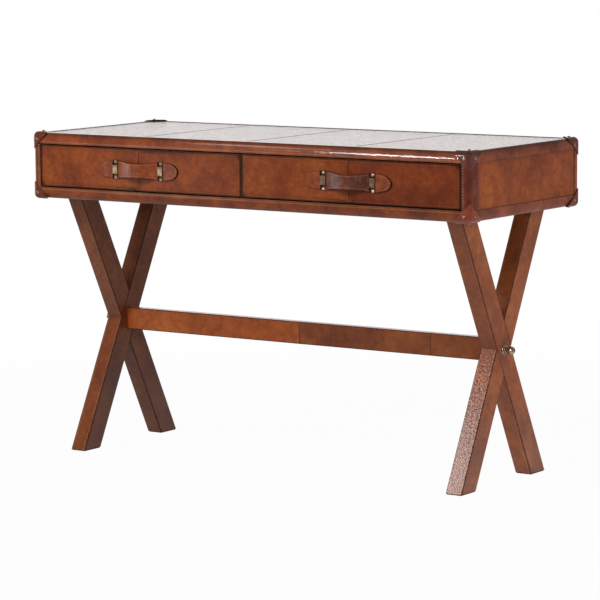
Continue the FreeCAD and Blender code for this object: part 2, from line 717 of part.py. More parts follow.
def leg_corners(foot):
    """The slanting outline of a leg in Y and Z; foot is -1 for a front foot and 1 for a back foot."""
    top = WOOD_UNDERSIDE
    inner = f"({LEG_REACH} - desk.leg_width)"
    return [
        (f"({-foot}) * {LEG_REACH}", top),
        (f"({-foot}) * {inner}", top),
        (f"({foot}) * {LEG_REACH}", LEG_FOOT),
        (f"({foot}) * {inner}", LEG_FOOT),
    ]


def make_legs(bolt_holes, crossing_cuts):
    """Two legs to a frame, half-lapped: the back-footed leg runs through on the outside."""
    cuts = group("leg_cuts", [bolt_holes, crossing_cuts])

    def slanting(edge):
        return not along(X_AXIS)(edge) and not along(Y_AXIS)(edge)

    for name, side in SIDES.items():
        for foot_name, foot in (("front", -1), ("back", 1)):
            label = f"{name}_leg_{foot_name}_foot"
            leg = extruded(f"{label}_body", "YZ_Plane", leg_corners(foot), "desk.leg_thickness")
            round_edges(leg, "desk.leg_edge_radius", slanting)
            whole = leg.Shape.Volume
            lap = outline(leg, "YZ_Plane", leg_corners(-foot))
            half = "desk.leg_thickness / 2"
            if side * foot < 0:
                lap.setExpression("AttachmentOffset.Base.z", half)
            pocket = leg.newObject("PartDesign::Pocket", f"{label}_lap")
            pocket.Profile = lap
            pocket.Reversed = True
            pocket.setExpression("Length", half)
            start = FRAME_INNER if side > 0 else f"-{FRAME_OUTER}"
            leg.setExpression("Placement.Base.x", start)
            leg.setExpression("Placement.Base.y", MIDDLE)
            doc.recompute()
            if leg.Shape.Volume >= whole:
                raise RuntimeError(f"{label}: the lap joint removed nothing")
            keep(boolean("Cut", f"{label}_bored", leg, cuts), label)


def make_foot_pads():
    """A thin pad under each foot, a little smaller than the foot."""
    pads = []
    for name, side in SIDES.items():
        x = mirrored(side, f"{FRAME_INNER} + desk.pad_inset", f"{FRAME_OUTER} - desk.pad_inset")
        near = f"{LEG_REACH} - desk.leg_width + desk.pad_inset"
        for edge, sign in (("front", -1), ("back", 1)):
            low, high = mirrored(sign, near, f"{LEG_REACH} - desk.pad_inset")
            y = (f"{MIDDLE} + ({low})", f"{MIDDLE} + ({high})")
            pads.append(block(f"{name}_{edge}_pad", x, y, ("0", LEG_FOOT)))
    keep(group("pads", pads), "foot_pads", solids=len(pads))


def tenon_block(name, side):
    """The stub tenon of the stretcher in the inner face of one crossing."""
    x = mirrored(side, FRAME_INNER, f"{FRAME_INNER} + desk.tenon_length")
    y = (f"{MIDDLE} - desk.tenon_thickness / 2", f"{MIDDLE} + desk.tenon_thickness / 2")
    half = "(desk.tenon_height / 2)"
    z = (f"{STRETCHER_HEIGHT} - {half}", f"{STRETCHER_HEIGHT} + {half}")
    return block(f"{name}_tenon", x, y, z)


def make_stretcher():
    """The stretcher, its studs, and the tool that cuts the mortises and bores of the crossings."""
    stud_start = f"({FRAME_INNER} - desk.stud_depth)"
    stud_end = f"({FRAME_OUTER} + desk.washer_thickness + desk.stud_in_knob)"
    studs, bores, tenons = [], [], []
    for name, side in SIDES.items():
        x = mirrored(side, stud_start, stud_end)
        studs.append(rod(f"{name}_stud", "desk.stud_diameter", x))
        bores.append(rod(f"{name}_stud_bore", "desk.stud_diameter + desk.hole_play", x))
        tenons.append(tenon_block(name, side))
    keep(group("studs", studs), "stretcher_studs", solids=len(studs))

    half_y = "(desk.stretcher_thickness / 2)"
    half_z = "(desk.stretcher_height / 2)"
    bar = extruded("stretcher_bar", "YZ_Plane", [
        (f"-{half_y}", f"-{half_z}"),
        (half_y, f"-{half_z}"),
        (half_y, half_z),
        (f"-{half_y}", half_z),
    ], f"2 * {FRAME_INNER}", centred=True)
    round_edges(bar, "desk.stretcher_edge_radius", along(X_AXIS))
    bar.setExpression("Placement.Base.y", MIDDLE)
    bar.setExpression("Placement.Base.z", STRETCHER_HEIGHT)
    whole = doc.addObject("Part::MultiFuse", "stretcher_whole")
    whole.Shapes = [bar, *tenons]
    bore_pair = group("stud_bores", bores)
    keep(boolean("Cut", "stretcher_bored", whole, bore_pair), "stretcher")
    return group("crossing_cuts", [*tenons, bore_pair])


def make_washers_and_knobs():
    """A cup washer and a ball knob on the outer end of each stud."""
    bore = "((desk.stud_diameter + desk.knob_play) / 2)"
    rim = "(desk.washer_diameter / 2)"
    flat = "(desk.washer_thickness - desk.washer_edge)"
    washer = turned("washer", [
        (bore, "0"),
        (rim, "0"),
        (rim, flat, "desk.washer_edge"),
        (f"{rim} - desk.washer_edge", "desk.washer_thickness"),
        (bore, "desk.washer_thickness"),
    ])
    outward = {name: FreeCAD.Rotation(UP, FreeCAD.Vector(side, 0, 0)) for name, side in SIDES.items()}
    spots = []
    for name, side in SIDES.items():
        spot = FreeCAD.Vector(side * number(FRAME_OUTER), number(MIDDLE), number(STRETCHER_HEIGHT))
        spots.append(FreeCAD.Placement(spot, outward[name]))
    keep(copies("washers", washer, spots), "knob_washers", solids=2)

    collar = "(desk.knob_collar / 2)"
    neck = "(desk.knob_neck / 2)"
    ball = "(desk.knob_ball / 2)"
    neck_top = "(desk.knob_collar_length + desk.knob_neck_length)"
    ball_centre = f"({neck_top} + sqrt({ball}^2 - {neck}^2))"
    hole = "(desk.stud_in_knob + desk.knob_play)"
    for name, side in SIDES.items():
        knob = turned(f"{name}_knob_body", [
            (bore, "0"),
            (collar, "0"),
            (collar, "desk.knob_collar_length"),
            (neck, "desk.knob_collar_length"),
            (neck, neck_top, ball),
            (ball, ball_centre, ball),
            ("0", f"{ball_centre} + {ball}"),
            ("0", hole),
            (bore, hole),
        ])
        knob.Placement.Rotation = outward[name]
        knob.setExpression("Placement.Base.x", f"({side}) * ({FRAME_OUTER} + desk.washer_thickness)")
        knob.setExpression("Placement.Base.y", MIDDLE)
        knob.setExpression("Placement.Base.z", STRETCHER_HEIGHT)
        keep(knob, f"{name}_knob")


def make_desk():
    nail_holes = make_nails()
    bolt_holes = make_leg_bolts()
    core = rounded_case("wood_core", "-desk.strip_thickness")
    case = rounded_case("leather_case", "0")
    make_boards(core, nail_holes, bolt_holes)
    make_panel_leather()
    make_edge_strips(core, case, nail_holes)
    make_corner_caps(case, nail_holes)
    make_runners_and_stops()
    for name, side in SIDES.items():
        make_drawer(name, side)
    crossing_cuts = make_stretcher()
    make_legs(bolt_holes, crossing_cuts)
    make_foot_pads()
    make_washers_and_knobs()


def check_and_write():
    """Stop at any object that failed, then write one file for each piece."""
    doc.recompute()
    for item in doc.Objects:
        if {"Invalid", "Error"} & set(item.State):
            raise RuntimeError(f"{item.Label} failed: {item.State}")
    for piece, solids in pieces:
        if piece.Shape.isNull() or not piece.Shape.isValid():
            raise RuntimeError(f"{piece.Label} has no valid shape")
        if len(piece.Shape.Solids) != solids:
            raise RuntimeError(f"{piece.Label} has {len(piece.Shape.Solids)} solids, not {solids}")
    os.makedirs("parts", exist_ok=True)
    for piece, solids in pieces:
        piece.Shape.exportStep(f"parts/{piece.Label}.step")


make_desk()
check_and_write()
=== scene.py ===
import json
import math

import bmesh
import bpy
from mathutils import Matrix, Vector


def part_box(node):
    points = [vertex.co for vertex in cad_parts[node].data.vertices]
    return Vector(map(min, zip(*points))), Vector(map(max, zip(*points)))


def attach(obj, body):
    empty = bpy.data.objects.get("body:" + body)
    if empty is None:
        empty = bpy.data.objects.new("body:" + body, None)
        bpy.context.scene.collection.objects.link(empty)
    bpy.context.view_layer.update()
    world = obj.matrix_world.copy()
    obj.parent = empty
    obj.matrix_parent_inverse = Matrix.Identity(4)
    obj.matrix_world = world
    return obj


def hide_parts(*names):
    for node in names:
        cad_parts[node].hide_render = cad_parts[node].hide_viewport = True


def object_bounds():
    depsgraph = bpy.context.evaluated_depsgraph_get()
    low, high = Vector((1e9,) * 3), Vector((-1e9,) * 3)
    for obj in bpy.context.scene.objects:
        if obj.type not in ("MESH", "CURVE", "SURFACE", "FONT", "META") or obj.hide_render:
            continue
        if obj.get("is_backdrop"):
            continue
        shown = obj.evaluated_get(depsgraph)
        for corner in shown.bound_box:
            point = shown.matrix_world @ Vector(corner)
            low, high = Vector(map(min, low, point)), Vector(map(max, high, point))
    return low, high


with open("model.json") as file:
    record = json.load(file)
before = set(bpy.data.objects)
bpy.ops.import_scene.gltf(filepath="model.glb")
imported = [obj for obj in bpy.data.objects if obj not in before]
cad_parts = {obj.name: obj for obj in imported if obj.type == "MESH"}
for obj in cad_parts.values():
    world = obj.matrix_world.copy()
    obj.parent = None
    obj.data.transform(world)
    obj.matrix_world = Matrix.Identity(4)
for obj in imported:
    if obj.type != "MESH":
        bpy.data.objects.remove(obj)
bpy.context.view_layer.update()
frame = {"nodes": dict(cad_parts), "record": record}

# A leather-covered campaign desk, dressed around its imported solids. Lengths are metres, +Z is up
# and the drawers open towards -Y.
scene = bpy.context.scene
nodes = frame["nodes"]
SLOT_OF = {part["node"]: part["material_slot"] for part in frame["record"]["subparts"]}
BODY_OF = {node: body for body, held in frame["record"]["behaviour"]["bodies"].items() for node in held}
MM = 0.001
SIDES = ("left", "right")

# Places on the case, read from the solids: its outer faces, and the opening for the drawers
STRIPS = [name for name in nodes if name.startswith("edge_strip")]
case_low = Vector([min(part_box(strip)[0][axis] for strip in STRIPS) for axis in range(3)])
case_high = Vector([max(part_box(strip)[1][axis] for strip in STRIPS) for axis in range(3)])
opening_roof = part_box("edge_strip_top_front")[0].z
opening_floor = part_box("edge_strip_bottom_front")[1].z
opening_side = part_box("edge_strip_front_right")[0].x
side_strip_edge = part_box("edge_strip_front_right")[1].y
# The edges of the case are rounded to this radius.
EDGE_ROUND = 10 * MM


def centre_x(node):
    """Where the middle of a solid lies along the desk."""
    return sum(corner.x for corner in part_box(node)) / 2


# Materials

def tone(text):
    """A colour written as an sRGB hex value, in linear light."""
    parts = [int(text[i:i + 2], 16) / 255 for i in (1, 3, 5)]
    return tuple(c / 12.92 if c <= 0.04045 else ((c + 0.055) / 1.055) ** 2.4 for c in parts) + (1,)


def grey(level):
    return (level, level, level, 1)


def per(millimetres):
    """The texture scale at which one feature is this many millimetres wide."""
    return 1 / (millimetres * MM)


def new_material(name):
    material = bpy.data.materials.new(name)
    material.use_nodes = True
    material.node_tree.nodes.clear()
    return material, material.node_tree


def add(tree, kind, settings, sockets):
    """Add a node with its settings, and fill or link its sockets.

    The setting "stops" holds the places and colours of a colour ramp.
    """
    made = tree.nodes.new(kind)
    for name, value in settings.items():
        if name != "stops":
            setattr(made, name, value)
            continue
        band = made.color_ramp.elements
        while len(band) < len(value):
            band.new(0.5)
        for element, (place, colour) in zip(band, value):
            element.position = place
            element.color = colour
    for name, value in sockets.items():
        if isinstance(value, bpy.types.NodeSocket):
            tree.links.new(value, made.inputs[name])
        else:
            made.inputs[name].default_value = value
    return made


def leather(name, dark, middle, light, seed, patch=90, ior=1.35, grain=1.0, polish=0.16):
    """Hand-aged hide, dyed in three tones that drift in patches of a size in millimetres.

    The eye sees dye pooled in clouds and along borders, under wax that glints on a pebbled grain.
    """
    material, tree = new_material(name)
    place = add(tree, "ShaderNodeTexCoord", {}, {}).outputs["Object"]
    drift = add(tree, "ShaderNodeTexNoise", {"noise_dimensions": "4D"},
                {"Vector": place, "W": seed + 20, "Scale": per(160), "Detail": 2}).outputs["Color"]
    shifted = add(tree, "ShaderNodeVectorMath", {"operation": "MULTIPLY_ADD"},
                  {0: drift, 1: (0.05, 0.05, 0.05), 2: place}).outputs[0]
    clouds = add(tree, "ShaderNodeTexNoise", {"noise_dimensions": "4D"},
                 {"Vector": shifted, "W": seed, "Scale": per(patch), "Detail": 7,
                  "Roughness": 0.66}).outputs["Fac"]
    stains = add(tree, "ShaderNodeTexNoise", {"noise_dimensions": "4D"},
                 {"Vector": shifted, "W": seed + 7, "Scale": per(patch * 0.4),
                  "Detail": 5}).outputs["Fac"]
    pores = add(tree, "ShaderNodeTexNoise", {"noise_dimensions": "4D"},
                {"Vector": place, "W": seed, "Scale": per(11), "Detail": 5,
                 "Roughness": 0.78}).outputs["Fac"]
    colour = add(tree, "ShaderNodeValToRGB",
                 {"stops": [(0.32, tone(dark)), (0.5, tone(middle)), (0.66, tone(light))]},
                 {"Fac": clouds}).outputs[0]
    pool = add(tree, "ShaderNodeValToRGB", {"stops": [(0.48, grey(0)), (0.7, grey(0.6))]},
               {"Fac": stains}).outputs[0]
    pooled = add(tree, "ShaderNodeMix", {"data_type": "RGBA"},
                 {0: pool, 6: colour, 7: tone(dark)}).outputs[2]
    speck = add(tree, "ShaderNodeValToRGB", {"stops": [(0.34, grey(0.66)), (0.6, grey(1))]},
                {"Fac": pores}).outputs[0]
    specked = add(tree, "ShaderNodeMix", {"data_type": "RGBA", "blend_type": "MULTIPLY"},
                  {0: 1, 6: pooled, 7: speck}).outputs[2]
    # The border mark darkens margins: partly dye rubbed in, partly painted shade at borders, seams and the
    # crowns of the upper bindings.
    border = add(tree, "ShaderNodeAttribute", {"attribute_name": "border"}, {}).outputs["Fac"]
    margin = add(tree, "ShaderNodeValToRGB",
                 {"stops": [(0, grey(1)), (0.5, grey(0.88)), (0.78, grey(0.7)), (1, grey(0.2))]},
                 {"Fac": border}).outputs[0]
    dyed = add(tree, "ShaderNodeMix", {"data_type": "RGBA", "blend_type": "MULTIPLY"},
               {0: 1, 6: specked, 7: margin}).outputs[2]
    pebbles = add(tree, "ShaderNodeTexVoronoi", {"feature": "SMOOTH_F1"},
                  {"Vector": place, "Scale": per(2.6), "Smoothness": 0.6}).outputs["Distance"]
    wrinkles = add(tree, "ShaderNodeTexNoise", {},
                   {"Vector": place, "Scale": per(9), "Detail": 4, "Roughness": 0.65}).outputs["Fac"]
    relief = add(tree, "ShaderNodeMath", {"operation": "MULTIPLY_ADD"},
                 {0: wrinkles, 1: 2, 2: pebbles}).outputs[0]
    bump = add(tree, "ShaderNodeBump", {},
               {"Height": relief, "Strength": 0.6 * grain, "Distance": 0.4 * MM}).outputs[0]
    shine = add(tree, "ShaderNodeMapRange", {},
                {"Value": stains, "From Min": 0.3, "From Max": 0.7,
                 "To Min": 0.36, "To Max": 0.5}).outputs[0]
    # The grain in the wax is drawn two or three times as coarse as on real hide, so that it
    # still shows from afar.
    coarse = add(tree, "ShaderNodeTexNoise", {},
                 {"Vector": place, "Scale": per(6), "Detail": 2}).outputs["Fac"]
    wax = add(tree, "ShaderNodeBump", {},
              {"Height": coarse, "Strength": 0.5 * grain, "Distance": 1.2 * MM}).outputs[0]
    worn = add(tree, "ShaderNodeMapRange", {},
               {"Value": coarse, "From Min": 0.34, "From Max": 0.56,
                "To Min": 0.85, "To Max": 1}).outputs[0]
    shader = add(tree, "ShaderNodeBsdfPrincipled", {},
                 {"Base Color": dyed, "Roughness": shine, "Normal": bump, "IOR": ior,
                  "Specular IOR Level": 0.2, "Coat Weight": worn, "Coat Roughness": polish,
                  "Coat IOR": ior, "Coat Normal": wax}).outputs[0]
    add(tree, "ShaderNodeOutputMaterial", {}, {"Surface": shader})
    return material


def mottled(name, low, high, cell, roughness, metallic=0, relief=0.0, specular=0.5):
    """A plain finish whose tone and gloss wander a little, in cells of a size in millimetres."""
    material, tree = new_material(name)
    place = add(tree, "ShaderNodeTexCoord", {}, {}).outputs["Object"]
    spots = add(tree, "ShaderNodeTexNoise", {},
                {"Vector": place, "Scale": per(cell), "Detail": 5, "Roughness": 0.65}).outputs["Fac"]
    colour = add(tree, "ShaderNodeValToRGB", {"stops": [(0.38, tone(low)), (0.6, tone(high))]},
                 {"Fac": spots}).outputs[0]
    shine = add(tree, "ShaderNodeMapRange", {},
                {"Value": spots, "From Min": 0.35, "From Max": 0.65,
                 "To Min": roughness[1], "To Max": roughness[0]}).outputs[0]
    bump = add(tree, "ShaderNodeBump", {},
               {"Height": spots, "Strength": relief, "Distance": 0.2 * MM}).outputs[0]
    shader = add(tree, "ShaderNodeBsdfPrincipled", {},
                 {"Base Color": colour, "Metallic": metallic, "Roughness": shine, "Normal": bump,
                  "Specular IOR Level": specular}).outputs[0]
    add(tree, "ShaderNodeOutputMaterial", {}, {"Surface": shader})
    return material


def wood(name, early, late, stretch):
    """Planed and waxed boards: grain drawn out along the board, in bands a few millimetres wide."""
    material, tree = new_material(name)
    place = add(tree, "ShaderNodeTexCoord", {}, {}).outputs["Object"]
    laid = add(tree, "ShaderNodeMapping", {}, {"Vector": place, "Scale": stretch}).outputs[0]
    rings = add(tree, "ShaderNodeTexNoise", {},
                {"Vector": laid, "Scale": per(7), "Detail": 5, "Roughness": 0.6}).outputs["Fac"]
    colour = add(tree, "ShaderNodeValToRGB", {"stops": [(0.35, tone(late)), (0.65, tone(early))]},
                 {"Fac": rings}).outputs[0]
    bump = add(tree, "ShaderNodeBump", {},
               {"Height": rings, "Strength": 0.3, "Distance": 0.2 * MM}).outputs[0]
    shader = add(tree, "ShaderNodeBsdfPrincipled", {},
                 {"Base Color": colour, "Roughness": 0.5, "Normal": bump}).outputs[0]
    add(tree, "ShaderNodeOutputMaterial", {}, {"Surface": shader})
    return material


# Chestnut hide on the panels and the top: warm brown clouds, with a low gloss
panel_hide = leather("aged_leather_panels", "#6b301b", "#8b421d", "#9a4e22", 3, ior=1.28)
top_hide = leather("aged_leather_top", "#64301e", "#7f3e1f", "#8e4a25", 13)
# A redder and darker skin for one half of a drawer; its darkness is partly painted shade, for light falling
# off towards the right end
redder_hide_with_painted_falloff = leather("aged_leather_redder_panel_painted_falloff", "#5f281a", "#80391c", "#8f4520", 5, ior=1.26)
# Bindings of hide rubbed smooth: clear, narrow highlights run along their rounding.
strip_hide = leather("aged_leather_bindings", "#602a18", "#843e1d", "#974d24", 11, patch=70,
                     ior=1.4, grain=0.4, polish=0.09)
# Bindings round the ends are darker: purplish browns, duller than the rest
shaded_hide = leather("aged_leather_end_bindings", "#5c2d1f", "#7c3e2b", "#904e35", 23, patch=70,
                      ior=1.28)
dark_hide = leather("aged_leather_dark_binding", "#4c2015", "#6e2f1c", "#823c25", 29, patch=60,
                    ior=1.28, grain=0.5, polish=0.1)
# Caps of thick hide, moulded wet: dark from the soaking, with small patches and a wet-looking gloss
cap_hide = leather("aged_leather_caps", "#4f2115", "#6e2f1c", "#803c22", 19, patch=40, ior=1.42)
dark_cap_hide = leather("aged_leather_dark_cap", "#431b13", "#5f281c", "#743626", 33, patch=40,
                        ior=1.5, grain=0.4, polish=0.1)
red_cap_hide = leather("aged_leather_red_cap", "#6a2a17", "#8e3c1d", "#a54c23", 37, patch=40,
                       ior=1.5, grain=0.4, polish=0.08)
# Hide drawn over the legs and the stretcher: lighter browns whose grain sparkles where light grazes it
frame_hide = leather("aged_leather_legs", "#6f3720", "#8d4a27", "#9b5830", 27, patch=120,
                     ior=1.37, grain=0.75, polish=0.2)
bar_hide = leather("aged_leather_stretcher", "#8c4421", "#ae5829", "#bb652e", 41, patch=110)
# Bridle leather, dense and waxed: a fine grain and a soft sheen, darker on the right handle
strap_hides = {
    "left": leather("bridle_leather_left_strap", "#66301d", "#8b4223", "#a0532c", 35, patch=35,
                    ior=1.36, grain=0.4),
    "right": leather("bridle_leather_right_strap", "#47251b", "#693728", "#804a36", 35, patch=35,
                     ior=1.36, grain=0.4)}
# Cut edges dyed and rubbed with wax: a dull, nearly black line round each piece, and brown on the legs
burnished_edge = mottled("burnished_leather_edge", "#170c09", "#2a1610", 6, (0.7, 0.85),
                         relief=0.3, specular=0.05)
rubbed_edge = mottled("rubbed_leather_corner", "#432318", "#5c3121", 9, (0.5, 0.65),
                      relief=0.3, specular=0.2)
# Waxed linen thread: pale where it is clean or rubbed, and brown where the dye has reached it; on the legs'
# insteps the pale thread is a painted highlight
pale_thread = mottled("waxed_linen_thread", "#a98a72", "#cdb298", 1.2, (0.55, 0.7), relief=0.5)
tan_thread = mottled("waxed_tan_thread", "#976f55", "#ba9576", 1.2, (0.55, 0.7), relief=0.5)
brown_thread = mottled("waxed_brown_thread", "#8a5434", "#a9724c", 1.2, (0.55, 0.7), relief=0.5)
# Cast and turned brass: brown where it has tarnished, and pale and glinting where hands rub it
antique_brass = mottled("antique_brass", "#453019", "#7d5d38", 5, (0.35, 0.5), metallic=1)
# The left keepers are painted paler, as a glint, and the right ones darker, as painted shade, for the light
# each pair catches.
keeper_brasses_painted_glint_and_shade = {
    "left": mottled("worn_brass_left_keepers_painted_glint", "#c8a980", "#f2dcb8", 5, (0.24, 0.38), metallic=1),
    "right": mottled("worn_brass_right_keepers_painted_shade", "#937759", "#bda283", 5, (0.32, 0.46), metallic=1)}
screw_brass = mottled("polished_brass_heads", "#f0d0b0", "#ffeedc", 5, (0.4, 0.52), metallic=1)
nail_brass = mottled("aged_brass_nails", "#b0926a", "#dcc39c", 5, (0.25, 0.36), metallic=1)
knob_brass = mottled("tarnished_brass_knobs", "#a39070", "#dccfb4", 5, (0.1, 0.2), metallic=1)
# Zinc-plated steel bolts are grey and half dull, and moulded rubber pads are black and dull.
zinc_steel = mottled("zinc_plated_steel", "#8d9094", "#b9bcc0", 5, (0.35, 0.5), metallic=1)
pad_rubber = mottled("black_rubber_pads", "#141212", "#221f1d", 3, (0.6, 0.8), relief=0.3)
# Waxed poplar: straw-coloured boards with a faint, straight figure
ALONG_X, ALONG_Y = (0.08, 1, 1), (1, 0.08, 1)
long_boards = wood("waxed_poplar_lengthwise", "#a9845a", "#8a6540", ALONG_X)
deep_boards = wood("waxed_poplar_crosswise", "#a9845a", "#8a6540", ALONG_Y)

FINISHES = {"case_wood": long_boards, "drawer_wood": long_boards, "panel_leather": panel_hide,
            "strip_leather": strip_hide, "cap_leather": cap_hide, "frame_leather": frame_hide,
            "strap_leather": strap_hides["left"], "antique_brass": antique_brass, "steel": zinc_steel,
            "pad_rubber": pad_rubber}
BRASSES = {"corner_nails": nail_brass, "knob_washers": knob_brass,
           "left_knob": knob_brass, "right_knob": knob_brass}
for node, slot in SLOT_OF.items():
    runs_deep = node.endswith(("_sides", "_end_board", "_divider", "_runners"))
    nodes[node].data.materials.clear()
    finish = deep_boards if runs_deep else BRASSES.get(node, FINISHES[slot])
    nodes[node].data.materials.append(finish)


# Modelling helpers

def edit(piece):
    """Open one piece in edit mode, with everything else deselected."""
    bpy.ops.object.select_all(action="DESELECT")
    piece.select_set(True)
    bpy.context.view_layer.objects.active = piece
    bpy.ops.object.mode_set(mode="EDIT")


def pick(kind, test):
    """In edit mode, select the faces, edges or vertices that pass a test and no others."""
    bpy.ops.mesh.select_mode(type=kind)
    bpy.ops.mesh.select_all(action="DESELECT")
    mesh = bpy.context.edit_object.data
    shape = bmesh.from_edit_mesh(mesh)
    for item in {"VERT": shape.verts, "EDGE": shape.edges, "FACE": shape.faces}[kind]:
        item.select_set(bool(test(item)))
    shape.select_flush_mode()
    bmesh.update_edit_mesh(mesh)


def hang(piece, body, finishes, stands_for=(), smooth=35):
    """Leave edit mode, give the piece its finishes, smooth its round stretches and hang it on its body."""
    if piece.mode == "EDIT":
        bpy.ops.object.mode_set(mode="OBJECT")
    bpy.ops.object.select_all(action="DESELECT")
    piece.select_set(True)
    bpy.context.view_layer.objects.active = piece
    for finish in finishes:
        piece.data.materials.append(finish)
    bpy.ops.object.shade_smooth_by_angle(angle=math.radians(smooth))
    weighted = piece.modifiers.new("broad_faces_stay_flat", "WEIGHTED_NORMAL")
    weighted.keep_sharp = True
    weighted.weight = 100
    bpy.ops.object.modifier_apply(modifier=weighted.name)
    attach(piece, body)
    if stands_for:
        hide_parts(*stands_for)


def cut_from(node):
    """A merged copy of a solid's mesh with its flat faces whole, open in edit mode."""
    mesh = nodes[node].data.copy()
    mesh.materials.clear()
    piece = bpy.data.objects.new(f"{node}_hide", mesh)
    scene.collection.objects.link(piece)
    edit(piece)
    bpy.ops.mesh.select_all(action="SELECT")
    bpy.ops.mesh.customdata_custom_splitnormals_clear()
    bpy.ops.mesh.remove_doubles(threshold=2e-6)
    bpy.ops.mesh.dissolve_limited(angle_limit=math.radians(0.5))
    return piece


# Edges shorter than this are the rims of nail and screw holes, which heads cover.
HOLE_RIM = 0.7 * MM
CORNER = math.radians(30)


def round_rims(width):
    """Round over every corner of the piece in edit mode, as a skived and rubbed leather edge is."""
    pick("EDGE", lambda edge: edge.is_manifold and edge.calc_face_angle() > CORNER
         and edge.calc_length() > HOLE_RIM)
    bpy.ops.mesh.bevel(offset=width, segments=2, profile=0.5, affect="EDGES", clamp_overlap=False)


def finish_faces(piece, is_hide):
    """The first finish goes on the faces that pass the test, and the second on the rest."""
    bpy.ops.object.mode_set(mode="OBJECT")
    for face in piece.data.polygons:
        face.material_index = 0 if is_hide(face) else 1


# Leather on the case: panels, bindings and caps, each with dark dyed edges

CASE_RIMS = {"panel_leather": 0.8 * MM, "strip_leather": 0.8 * MM, "cap_leather": 0.9 * MM}
TOP_RIM = 1.7 * MM
# The cosine of 30 degrees: a face that turns further from straight out is an edge.
OUTWARD = 0.87
# Panels are darker along borders and seams, over this width and to these depths between 0 and 1: partly dye
# rubbed in, and partly painted shade, such as the rails cast on the drawers.
MARGIN = 13 * MM
DARK_BORDER, PLAIN_BORDER, DRAWER_SEAM = 1, 0.7, 0.3
PLAIN_PANELS = ("left_end_leather", "right_end_leather", "back_leather")
TOP_SEAMS = (-0.292, 0, 0.292)
# Padding carries the rounding of the bindings this far down, shaped in rows below the edge.
PAD_REACH = 21 * MM
PAD_ROWS = [drop * MM for drop in (11, 13, 15, 17, 19)]
ROW_SLACK, DEPTH_SLACK = 0.02 * MM, 0.1 * MM
# The crown of an upper binding is painted darkest, as shade on its upward-facing rounding, and the painted
# shade fades with the drop below it.
CROWN_DROP, CROWN_START, CROWN_DARKEST = 11 * MM, 1.25, 0.85
# Pieces cut from other hides than their neighbours; the bindings round the ends are darker.
OWN_HIDES = {"top_leather_panels": top_hide, "edge_strip_front_right": dark_hide,
             "corner_cap_top_front_right": dark_cap_hide,
             "corner_cap_bottom_front_right": red_cap_hide}
for level in ("top", "bottom"):
    for side in SIDES:
        OWN_HIDES[f"edge_strip_{level}_{side}"] = shaded_hide


def faces_out(face):
    """Whether a face of the case's leather looks straight out of the rounded box of the case."""
    core = Vector([min(max(c, low + EDGE_ROUND), high - EDGE_ROUND)
                   for c, low, high in zip(face.center, case_low, case_high)])
    return face.normal.dot((face.center - core).normalized()) > OUTWARD


def darken_margins_dye_and_shade(piece, borders):
    """Mark the margin along a panel's borders, darkened partly by dye rubbed in and partly as painted shade.
    """
    for axis, place, _ in borders:
        for way in (-1, 1):
            cut = Vector([place + way * MARGIN if a == axis else 0 for a in range(3)])
            across = Vector([float(a == axis) for a in range(3)])
            bpy.ops.mesh.select_all(action="SELECT")
            bpy.ops.mesh.bisect(plane_co=cut, plane_no=across)
    bpy.ops.object.mode_set(mode="OBJECT")
    margin = piece.data.attributes.new("border", "FLOAT", "POINT")
    for vertex, mark in zip(piece.data.vertices, margin.data):
        mark.value = max((depth for axis, place, depth in borders
                          if abs(vertex.co[axis] - place) < MARGIN / 2), default=0)
    edit(piece)


def panel_borders(node):
    """The axis and place of each border and seam of a leather panel, and how dark its margin is, in dye and
    painted shade.
    """
    low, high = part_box(node)
    flat = min(range(3), key=lambda axis: high[axis] - low[axis])
    depth = PLAIN_BORDER if node in PLAIN_PANELS else DARK_BORDER
    borders = [(axis, corner[axis], depth) for axis in range(3) if axis != flat for corner in (low, high)]
    if "drawer" in node:
        borders.append((0, centre_x(node), DRAWER_SEAM))
    if node == "top_leather_panels":
        borders += [(0, seam, DARK_BORDER) for seam in TOP_SEAMS]
    return borders


def pad_binding(node):
    """Carry the rounding of a binding further down the side of the case, over the padding under it."""
    edge = case_high.z if "_top_" in node else case_low.z
    down = -1 if "_top_" in node else 1
    axis = 0 if node.endswith(("left", "right")) else 1
    near = node.endswith(("left", "front"))
    face, inward = (case_low[axis], 1) if near else (case_high[axis], -1)
    for drop in PAD_ROWS:
        bpy.ops.mesh.select_all(action="SELECT")
        bpy.ops.mesh.bisect(plane_co=(0, 0, edge + down * drop), plane_no=(0, 0, 1))

    def set_back(drop, reach):
        return EDGE_ROUND * (1 - math.sqrt(1 - max(0, 1 - drop / reach) ** 2))

    shape = bmesh.from_edit_mesh(bpy.context.edit_object.data)
    rows = sorted({round(abs(vertex.co.z - edge), 5) for vertex in shape.verts})
    for drop in [row for row in rows if 0 < row < PAD_REACH]:
        round_depth, padded_depth = set_back(drop, EDGE_ROUND), set_back(drop, PAD_REACH)

        def on_row(vertex):
            depth = (vertex.co[axis] - face) * inward
            return (abs(abs(vertex.co.z - edge) - drop) < ROW_SLACK
                    and abs(depth - round_depth) < DEPTH_SLACK)

        pick("VERT", on_row)
        shift = Vector([inward * (padded_depth - round_depth) if a == axis else 0 for a in range(3)])
        bpy.ops.transform.translate(value=shift)


def paint_crown_shade(piece):
    """Mark the crown of an upper binding with painted shade, on the rounding that looks up away from the
    light.
    """
    bpy.ops.object.mode_set(mode="OBJECT")
    crown = piece.data.attributes.new("border", "FLOAT", "POINT")
    for vertex, mark in zip(piece.data.vertices, crown.data):
        drop = case_high.z - vertex.co.z
        mark.value = min(CROWN_DARKEST, max(0, CROWN_START - drop / CROWN_DROP))
    edit(piece)


